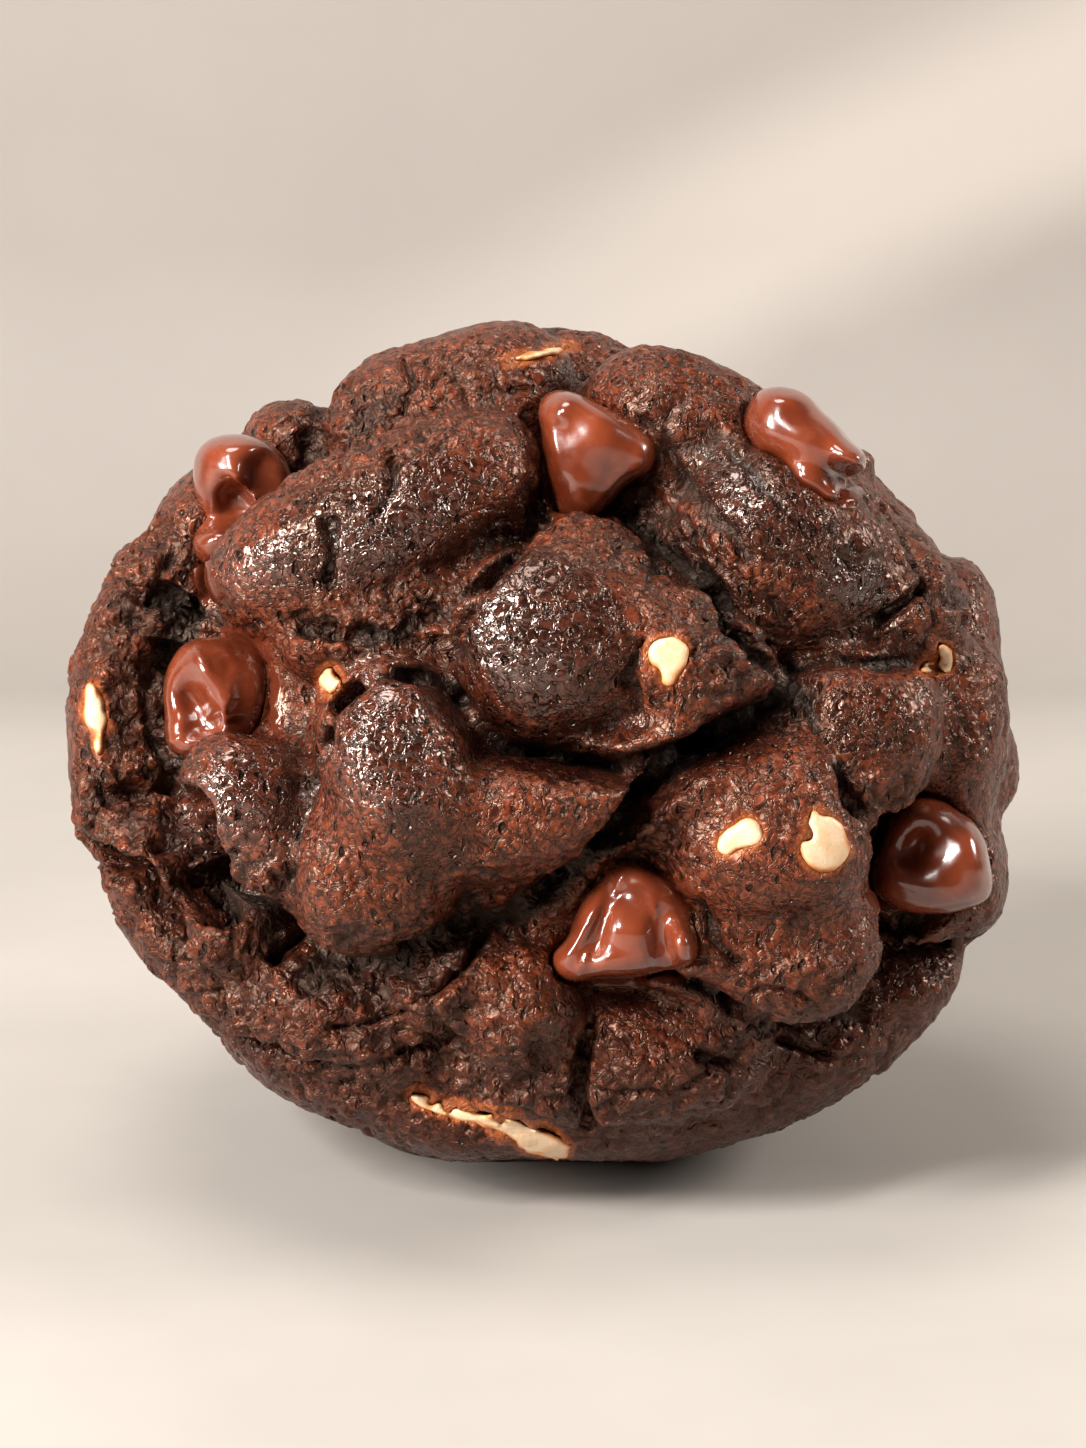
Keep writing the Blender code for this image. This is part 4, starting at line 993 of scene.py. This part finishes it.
def white_object(name, values):
    """A white piece: the dough's own skin, a little raised, within its outline."""
    (x, y), patches, _ = values
    guess = guide_range(x, y)
    skin = skin_along(EYE, sight(x, y), guess - 12.0, guess + 30.0)
    centre = EYE + sight(x, y) * skin
    reach = max(math.hypot(dx, dy) + max(w, h) for dx, dy, w, h, _ in patches) * UNIT * 1.08 + 1.0

    def field(points):
        dough = dough_field(points)
        total = white_outline(points, *values) + 0.22 * noise(points, 0.95, 3.4)
        for other in (dough - 0.10 - 0.08 * noise(points, 1.7, 5.1), -(dough + 1.6)):
            mix = np.maximum(0.45 - np.abs(total - other), 0.0) / 0.45
            total = np.maximum(total, other) + mix * mix * 0.45 / 4.0
        away = np.linalg.norm(points - centre, axis=1) - reach
        return np.maximum(total, away)

    low, high = centre - reach - 0.4, centre + reach + 0.4
    points, quads = largest_piece(*skin_mesh(field, low, high, 0.24, 3, 1.1))
    points = eased(points, quads, 2)
    outline = white_outline(points, *values)
    toast = 1.0 - ramp(-outline + 0.3 * noise(points, 1.2, 7.1), -0.1, 0.55)
    toast = np.maximum(toast, 1.0 - ramp(dough_field(points), -1.1, -0.4))
    return baked(mesh_object(name, points, quads, {"toast": np.clip(toast, 0.0, 1.0)}))


def rear_white_object(name, lumps):
    body = lumps[0]

    def field(points):
        return body.distance(points) + 0.45 * noise(points, 2.4, 3.3) + 0.12 * noise(points, 1.1, 1.1)

    reach = body.radii.max() + 1.5
    points, quads = largest_piece(*skin_mesh(field, body.centre - reach, body.centre + reach, 0.26, 1))
    points = eased(points, quads, 3)
    local = (points - body.centre) @ body.axes.T / body.radii
    rim = np.sqrt(local[:, 0] ** 2 + local[:, 1] ** 2)
    toast = ramp(rim + 0.25 * noise(points, 1.1, 7.1), 0.5, 0.95)
    return baked(mesh_object(name, points, quads, {"toast": toast}))


# Melted chocolate on the crust: x, y, half width, half height, roll on the sheet.
MELTS = (
    (246, 640, 34, 9, -28), (206, 584, 13, 26, 10), (278, 700, 8, 34, 0), (557, 506, 8, 12, 0),
    (562, 966, 14, 9, 0), (640, 980, 52, 6, 4), (688, 886, 13, 8, -20), (874, 900, 14, 9, -20),
    (850, 494, 14, 9, 0),
)


# ---------------------------------------------------------------- materials
class Nodes:
    """A small helper for wiring a material."""

    def __init__(self, name):
        self.material = bpy.data.materials.new(name)
        self.material.use_nodes = True
        self.tree = self.material.node_tree
        self.shader = self.tree.nodes["Principled BSDF"]

    def add(self, kind, **settings):
        node = self.tree.nodes.new(kind)
        for key, value in settings.items():
            setattr(node, key, value)
        return node

    def link(self, a, b):
        self.tree.links.new(a, b)

    def attribute(self, name):
        return self.add("ShaderNodeAttribute", attribute_name=name).outputs["Fac"]

    def place(self):
        return self.add("ShaderNodeTexCoord").outputs["Object"]

    def noise(self, place, millimetres, detail=3.0, rough=0.55, distortion=0.0):
        node = self.add("ShaderNodeTexNoise")
        node.inputs["Scale"].default_value = 1.0 / (millimetres * MM)
        node.inputs["Detail"].default_value = detail
        node.inputs["Roughness"].default_value = rough
        node.inputs["Distortion"].default_value = distortion
        self.link(place, node.inputs["Vector"])
        return node.outputs["Fac"]

    def voronoi(self, place, millimetres, feature="F1", output="Distance"):
        node = self.add("ShaderNodeTexVoronoi", feature=feature)
        node.inputs["Scale"].default_value = 1.0 / (millimetres * MM)
        self.link(place, node.inputs["Vector"])
        return node.outputs[output]

    def math(self, operation, a, b=None, clamp=False):
        node = self.add("ShaderNodeMath", operation=operation, use_clamp=clamp)
        for socket, value in zip(node.inputs, (a, b)):
            if value is None:
                continue
            if isinstance(value, (int, float)):
                socket.default_value = value
            else:
                self.link(value, socket)
        return node.outputs["Value"]

    def ramp(self, value, low, high, to_low=0.0, to_high=1.0, smooth=True):
        node = self.add("ShaderNodeMapRange")
        node.interpolation_type = "SMOOTHSTEP" if smooth else "LINEAR"
        for socket, number in (("From Min", low), ("From Max", high), ("To Min", to_low), ("To Max", to_high)):
            node.inputs[socket].default_value = number
        self.link(value, node.inputs["Value"])
        return node.outputs["Result"]

    def mix(self, share, a, b, blend="MIX"):
        node = self.add("ShaderNodeMix", data_type="RGBA", blend_type=blend)
        for socket, value in ((node.inputs[0], share), (node.inputs[6], a), (node.inputs[7], b)):
            if isinstance(value, (int, float)):
                socket.default_value = value
            elif isinstance(value, tuple):
                socket.default_value = (*value, 1.0)
            else:
                self.link(value, socket)
        return node.outputs[2]

    def bump(self, height, millimetres, strength=1.0, under=None):
        node = self.add("ShaderNodeBump")
        node.inputs["Strength"].default_value = strength
        node.inputs["Distance"].default_value = millimetres * MM
        self.link(height, node.inputs["Height"])
        if under is not None:
            self.link(under, node.inputs["Normal"])
        return node.outputs["Normal"]


def srgb(r, g, b):
    def one(value):
        value /= 255.0
        return value / 12.92 if value <= 0.04045 else ((value + 0.055) / 1.055) ** 2.4
    return (one(r), one(g), one(b))


def dough_material():
    n = Nodes("baked_dough")
    at = n.place()
    openness, crust, crumb = n.attribute("openness"), n.attribute("crust"), n.attribute("crumb")
    crease, melt, cleft_shade = n.attribute("crease"), n.attribute("melt"), n.attribute("cleft_shade")
    toast, gloss = n.attribute("toast"), n.attribute("gloss")

    # A warped place, so that flakes and slits curl.
    wobble = n.add("ShaderNodeTexNoise")
    wobble.inputs["Scale"].default_value = 620.0
    wobble.inputs["Detail"].default_value = 1.0
    n.link(at, wobble.inputs["Vector"])
    bent = n.add("ShaderNodeVectorMath", operation="MULTIPLY_ADD")
    n.link(wobble.outputs["Color"], bent.inputs[0])
    bent.inputs[1].default_value = (0.0013, 0.0013, 0.0013)
    n.link(at, bent.inputs[2])
    curl = bent.outputs[0]

    tone = n.noise(at, 6.5, 3.0, 0.6)
    swell = n.noise(curl, 0.85, 1.0, 0.4)
    speck = n.noise(curl, 0.65, 3.0, 0.68)
    fold = n.noise(curl, 1.05, 2.0, 0.6)
    wrinkle = n.ramp(n.math("ABSOLUTE", n.math("SUBTRACT", fold, 0.5)), 0.0, 0.055)
    plate = n.add("ShaderNodeTexVoronoi")
    plate.inputs["Scale"].default_value = 1.0 / (0.62 * MM)
    n.link(curl, plate.inputs["Vector"])
    off_centre = n.add("ShaderNodeVectorMath", operation="SUBTRACT")
    n.link(curl, off_centre.inputs[0])
    n.link(plate.outputs["Position"], off_centre.inputs[1])
    lean = n.add("ShaderNodeVectorMath", operation="SUBTRACT")
    n.link(plate.outputs["Color"], lean.inputs[0])
    lean.inputs[1].default_value = (0.5, 0.5, 0.5)
    tilted = n.add("ShaderNodeVectorMath", operation="DOT_PRODUCT")
    n.link(off_centre.outputs[0], tilted.inputs[0])
    n.link(lean.outputs[0], tilted.inputs[1])
    tilt = tilted.outputs["Value"]
    rim = n.ramp(plate.outputs["Distance"], 0.56, 0.80)
    slit_place = n.add("ShaderNodeMapping")
    slit_place.inputs["Rotation"].default_value = (0.0, 0.5, 0.2)
    slit_place.inputs["Scale"].default_value = (1.0, 0.8, 0.42)
    n.link(curl, slit_place.inputs["Vector"])
    hole = n.add("ShaderNodeTexVoronoi")
    hole.inputs["Scale"].default_value = 1.0 / (1.1 * MM)
    n.link(slit_place.outputs[0], hole.inputs["Vector"])
    chosen = n.add("ShaderNodeSeparateColor")
    n.link(hole.outputs["Color"], chosen.inputs[0])
    slit = n.math("MULTIPLY", n.ramp(hole.outputs["Distance"], 0.12, 0.27, 1.0, 0.0),
                  n.ramp(chosen.outputs[0], 0.2, 0.3))

    crust_edge = n.ramp(n.math("ADD", crust, n.math("MULTIPLY", n.math("SUBTRACT", tone, 0.5), 0.6)), 0.25, 0.85)
    base = n.mix(n.ramp(speck, 0.38, 0.62), srgb(56, 22, 11), srgb(122, 54, 30))
    base = n.mix(n.math("MULTIPLY", crumb, n.ramp(tone, 0.35, 0.65)), base, srgb(130, 62, 37))
    top = n.mix(n.ramp(speck, 0.38, 0.62), srgb(26, 12, 8), srgb(70, 36, 26))
    base = n.mix(n.math("MULTIPLY", crust_edge, 0.9), base, top)
    base = n.mix(n.ramp(tone, 0.35, 0.7, 0.0, 0.3), base, srgb(56, 25, 16))
    # Painted shade: the dough darker the less open a place is, inside the folds.
    hollow = n.math("SUBTRACT", 1.0, openness)
    base = n.mix(n.ramp(hollow, 0.25, 1.0, 0.0, 0.7), base, srgb(44, 15, 8))
    # Painted shade in the crust's fine grooves: along the wrinkles, the rims between flakes and in the slits.
    base = n.mix(n.math("MULTIPLY", n.ramp(wrinkle, 0.0, 0.8, 1.0, 0.0), 0.7), base, srgb(20, 7, 4))
    base = n.mix(n.math("MULTIPLY", rim, 0.6), base, srgb(26, 9, 5))
    base = n.mix(n.math("MULTIPLY", slit, 0.92), base, srgb(7, 3, 2))
    # Painted shade in the mesh's cracks, grooves and pits.
    base = n.mix(n.math("MULTIPLY", crease, 0.9), base, srgb(18, 8, 6))
    # Painted shade: near black along the folds' floors, a little uneven with the tone.
    base = n.mix(n.ramp(n.math("ADD", cleft_shade, n.math("MULTIPLY", n.math("SUBTRACT", tone, 0.5), 0.3)), 0.15, 0.6, 0.0, 0.98),
                 base, srgb(9, 3, 2))
    # Painted shade: the dough darker towards the bottom, most below 6 mm and none above 36 mm.
    height_above = n.add("ShaderNodeSeparateXYZ")
    n.link(at, height_above.inputs[0])
    base = n.mix(n.ramp(height_above.outputs[2], 0.006, 0.036, 0.66, 0.0), base, srgb(46, 16, 9))
    base = n.mix(n.math("MULTIPLY", melt, 0.9), base, srgb(80, 34, 20))
    glow = n.ramp(n.math("ADD", toast, n.math("MULTIPLY", n.math("SUBTRACT", speck, 0.5), 0.5)), 0.15, 0.95)
    base = n.mix(n.math("MULTIPLY", n.ramp(glow, 0.0, 0.75), 0.9), base, srgb(120, 54, 27))
    base = n.mix(n.ramp(glow, 0.6, 1.0, 0.0, 0.9), base, srgb(140, 74, 38))
    n.link(base, n.shader.inputs["Base Color"])

    rough = n.ramp(crust_edge, 0.0, 1.0, 0.27, 0.17)
    rough = n.math("ADD", rough, n.math("MULTIPLY", n.math("SUBTRACT", speck, 0.5), 0.3))
    rough = n.math("SUBTRACT", rough, n.math("MULTIPLY", gloss, 0.08))
    rough = n.math("ADD", rough, n.math("MULTIPLY", crease, 0.3))
    rough = n.math("ADD", rough, n.math("MULTIPLY", cleft_shade, 0.3))
    rough = n.math("SUBTRACT", rough, n.math("MULTIPLY", melt, 0.35))
    n.link(n.math("MAXIMUM", n.math("MINIMUM", rough, 1.0), 0.15), n.shader.inputs["Roughness"])
    n.shader.inputs["Specular IOR Level"].default_value = 0.6
    n.shader.inputs["Specular Tint"].default_value = (1.0, 0.70, 0.54, 1.0)
    n.shader.inputs["IOR"].default_value = 1.45

    coarse = n.math("ADD", 0.40, n.math("MULTIPLY", crumb, 1.1))
    height = n.math("MULTIPLY", wrinkle, 0.09)
    height = n.math("ADD", height, n.math("MULTIPLY", n.math("MULTIPLY", swell, coarse), 0.9))
    height = n.math("ADD", height, n.math("MULTIPLY", n.math("MULTIPLY", tilt, 600.0), n.math("ADD", 1.0, crumb)))
    height = n.math("SUBTRACT", height, n.math("MULTIPLY", rim, 0.08))
    height = n.math("SUBTRACT", height, n.math("MULTIPLY", slit, 0.9))
    dry = n.math("SUBTRACT", 1.0, n.math("MULTIPLY", melt, 0.9))
    skin = n.bump(n.math("MULTIPLY", height, dry), 0.5, 1.0)
    n.link(skin, n.shader.inputs["Normal"])
    # The butter gloss of the lobes' tops: broken by the same wrinkles, and none in the slits.
    n.shader.inputs["Coat Roughness"].default_value = 0.13
    n.shader.inputs["Coat IOR"].default_value = 1.6
    shine = n.math("MULTIPLY", gloss, n.math("SUBTRACT", 1.0, n.math("MAXIMUM", slit, n.math("MULTIPLY", rim, 0.7))))
    n.link(shine, n.shader.inputs["Coat Weight"])
    n.link(skin, n.shader.inputs["Coat Normal"])
    return n.material


def milk_material():
    n = Nodes("milk_chocolate")
    at = n.place()
    broad = n.noise(at, 4.0, 2.0, 0.5)
    smear = n.noise(at, 1.8, 3.0, 0.55, 0.6)
    base = n.mix(n.ramp(broad, 0.3, 0.7), srgb(94, 37, 18), srgb(122, 54, 30))
    base = n.mix(n.ramp(smear, 0.45, 0.75, 0.0, 0.25), base, srgb(138, 70, 44))
    n.link(base, n.shader.inputs["Base Color"])
    n.link(n.ramp(smear, 0.25, 0.75, 0.16, 0.30), n.shader.inputs["Roughness"])
    n.shader.inputs["Specular IOR Level"].default_value = 0.5
    n.shader.inputs["Coat Weight"].default_value = 0.8
    n.shader.inputs["Coat Roughness"].default_value = 0.07
    height = n.math("ADD", n.noise(at, 2.6, 1.0, 0.4), n.math("MULTIPLY", n.noise(at, 0.6, 2.0), 0.03))
    n.link(n.bump(height, 0.25, 0.8), n.shader.inputs["Normal"])
    return n.material


def white_material():
    n = Nodes("white_chocolate")
    at = n.place()
    toast = n.attribute("toast")
    blotch = n.noise(at, 1.5, 4.0, 0.6)
    grain = n.noise(at, 0.35, 3.0)
    cream = n.mix(n.ramp(blotch, 0.35, 0.65), srgb(224, 196, 163), srgb(214, 178, 138))
    amount = n.math("ADD", toast, n.math("MULTIPLY", n.math("SUBTRACT", blotch, 0.5), 0.6))
    base = n.mix(n.ramp(amount, 0.22, 0.66), cream, srgb(214, 150, 92))
    base = n.mix(n.ramp(amount, 0.66, 1.1), base, srgb(150, 78, 40))
    n.link(base, n.shader.inputs["Base Color"])
    n.link(n.ramp(amount, 0.2, 0.9, 0.36, 0.6), n.shader.inputs["Roughness"])
    n.shader.inputs["Subsurface Weight"].default_value = 0.25
    n.shader.inputs["Subsurface Radius"].default_value = (0.0016, 0.0009, 0.0005)
    height = n.math("ADD", n.math("MULTIPLY", blotch, 0.8), n.math("MULTIPLY", grain, 0.2))
    n.link(n.bump(height, 0.20, 0.9), n.shader.inputs["Normal"])
    return n.material


# ---------------------------------------------------------------- the pieces
SEATED = []
chip_pieces = []
for chip, (anchor, parts) in CHIPS.items():
    chip_pieces.append((chip, chip_lumps(anchor, parts)))
for chip, values in REAR_CHIPS.items():
    chip_pieces.append((chip, rear_piece_lumps(*values, True)))
SEATED += [lumps for _, lumps in chip_pieces]
rear_whites = [(name, rear_piece_lumps(*values, False)) for name, values in REAR_WHITES.items()]
SEATED += [lumps for _, lumps in rear_whites]

dough_look, milk_look, white_look = dough_material(), milk_material(), white_material()


def placed(obj, node, look):
    obj.data.materials.clear()
    obj.data.materials.append(look)
    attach(obj, "root")
    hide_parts(node)


placed(dough_object(), "cookie", dough_look)
for chip, lumps in chip_pieces:
    placed(lumps_object("melted_" + chip, lumps), chip, milk_look)
for name, values in WHITES.items():
    placed(white_object("toasted_" + name, values), name, white_look)
for name, lumps in rear_whites:
    placed(rear_white_object("toasted_" + name, lumps), name, white_look)

# ---------------------------------------------------------------- stage, light and camera
WALL_Y, SWEEP = 0.27, 0.06


def stage_look():
    """Pale floor and wall in one, with one soft slanting band of light on the wall."""
    n = Nodes("pale_stage")
    at = n.place()
    split = n.add("ShaderNodeSeparateXYZ")
    n.link(at, split.inputs[0])
    mottle = n.noise(at, 70.0, 4.0, 0.6)
    floor = n.mix(n.ramp(mottle, 0.3, 0.7), srgb(163, 157, 151), srgb(170, 164, 158))
    across = n.math("SUBTRACT", split.outputs[2], n.math("MULTIPLY", split.outputs[0], 0.45))
    across = n.math("ADD", across, n.math("MULTIPLY", n.math("SUBTRACT", mottle, 0.5), 0.01))
    lower = n.ramp(across, 0.019, 0.041)
    upper = n.ramp(across, 0.051, 0.077, 1.0, 0.0)
    band = n.math("MULTIPLY", n.math("MULTIPLY", lower, upper), n.ramp(split.outputs[0], -0.06, 0.05))
    wall = n.mix(n.ramp(mottle, 0.3, 0.7), srgb(139, 132, 126), srgb(143, 136, 130))
    wall = n.mix(band, wall, srgb(167, 159, 152))
    n.link(n.mix(n.ramp(split.outputs[1], 0.16, 0.26), floor, wall), n.shader.inputs["Base Color"])
    n.shader.inputs["Roughness"].default_value = 0.65
    n.link(n.bump(n.noise(at, 6.0, 2.0), 0.1, 0.3), n.shader.inputs["Normal"])
    # Clear from behind, so that the wall hides nothing from a viewer at the back.
    side = n.add("ShaderNodeNewGeometry")
    clear = n.add("ShaderNodeBsdfTransparent")
    either = n.add("ShaderNodeMixShader")
    n.link(side.outputs["Backfacing"], either.inputs[0])
    n.link(n.shader.outputs[0], either.inputs[1])
    n.link(clear.outputs[0], either.inputs[2])
    output = [node for node in n.material.node_tree.nodes if node.type == "OUTPUT_MATERIAL"][0]
    n.link(either.outputs[0], output.inputs["Surface"])
    return n.material


def sheet(name, rows, look):
    """A smooth sheet swept across the stage along the given (y, z) line."""
    mesh = bpy.data.meshes.new(name)
    corners = [(x, y, z) for y, z in rows for x in (-2.0, 2.0)]
    faces = [(2 * k, 2 * k + 1, 2 * k + 3, 2 * k + 2) for k in range(len(rows) - 1)]
    mesh.from_pydata(corners, [], faces)
    mesh.shade_smooth()
    obj = bpy.data.objects.new(name, mesh)
    bpy.context.scene.collection.objects.link(obj)
    mesh.materials.append(look)


STAGE_LOOK = stage_look()
bends = [math.radians(90.0 * step / 16) for step in range(17)]
sheet("stage", [(-1.5, 0.0), (-0.5, 0.0), (0.0, 0.0)] + [
    (WALL_Y - SWEEP + SWEEP * math.sin(bend), SWEEP - SWEEP * math.cos(bend)) for bend in bends
] + [(WALL_Y, 0.5), (WALL_Y, 1.2)], STAGE_LOOK)
sheet("stage_rear", [(WALL_Y - SWEEP, -0.0004), (0.8, -0.0004), (2.0, -0.0004)], STAGE_LOOK)


def lamp(name, place, aim, size, watts, colour, tall=None):
    data = bpy.data.lights.new(name, "AREA")
    data.shape = "RECTANGLE" if tall else "DISK"
    data.size, data.energy, data.color = size, watts, colour
    if tall:
        data.size_y = tall
    obj = bpy.data.objects.new(name, data)
    bpy.context.scene.collection.objects.link(obj)
    obj.location = place
    obj.rotation_euler = (Vector(aim) - Vector(place)).to_track_quat("-Z", "Y").to_euler()


lamp("key", (-0.35, -0.45, 0.42), (0.0, 0.0, 0.035), 0.10, 6.4, (1.0, 0.97, 0.93), 0.19)
lamp("left", (-0.52, -0.30, 0.22), (0.0, 0.0, 0.035), 0.11, 5.6, (1.0, 0.97, 0.93), 0.24)
lamp("top", (-0.10, -0.02, 0.54), (0.0, 0.0, 0.03), 0.26, 1.7, (1.0, 0.96, 0.92))
lamp("side", (0.50, 0.02, 0.30), (0.0, 0.0, 0.03), 0.24, 3.0, (1.0, 0.95, 0.89))

world = bpy.data.worlds.new("studio")
bpy.context.scene.world = world
world.use_nodes = True
world.node_tree.nodes["Background"].inputs["Color"].default_value = (1.0, 0.96, 0.92, 1.0)
world.node_tree.nodes["Background"].inputs["Strength"].default_value = 0.05
# Beyond the stage the studio looks pale, and lights nothing more than the fill above.
seen = world.node_tree.nodes.new("ShaderNodeLightPath")
pale = world.node_tree.nodes.new("ShaderNodeBackground")
pale.inputs["Color"].default_value = (0.66, 0.58, 0.51, 1.0)
pale.inputs["Strength"].default_value = 1.0
choice = world.node_tree.nodes.new("ShaderNodeMixShader")
world.node_tree.links.new(seen.outputs["Is Camera Ray"], choice.inputs[0])
world.node_tree.links.new(world.node_tree.nodes["Background"].outputs[0], choice.inputs[1])
world.node_tree.links.new(pale.outputs[0], choice.inputs[2])
world.node_tree.links.new(choice.outputs[0], world.node_tree.nodes["World Output"].inputs["Surface"])
bpy.context.scene.view_settings.view_transform = "Standard"

camera_data = bpy.data.cameras.new("view")
camera_data.lens = 100.0
camera_data.sensor_width = 36.0
camera_data.clip_start = 0.01
camera = bpy.data.objects.new("view", camera_data)
bpy.context.scene.collection.objects.link(camera)
camera.location = (MIDDLE - VIEW_RANGE * AHEAD + 18.0 * UNIT * UP) * MM
camera.rotation_euler = Vector(AHEAD).to_track_quat("-Z", "Y").to_euler()
bpy.context.scene.camera = camera
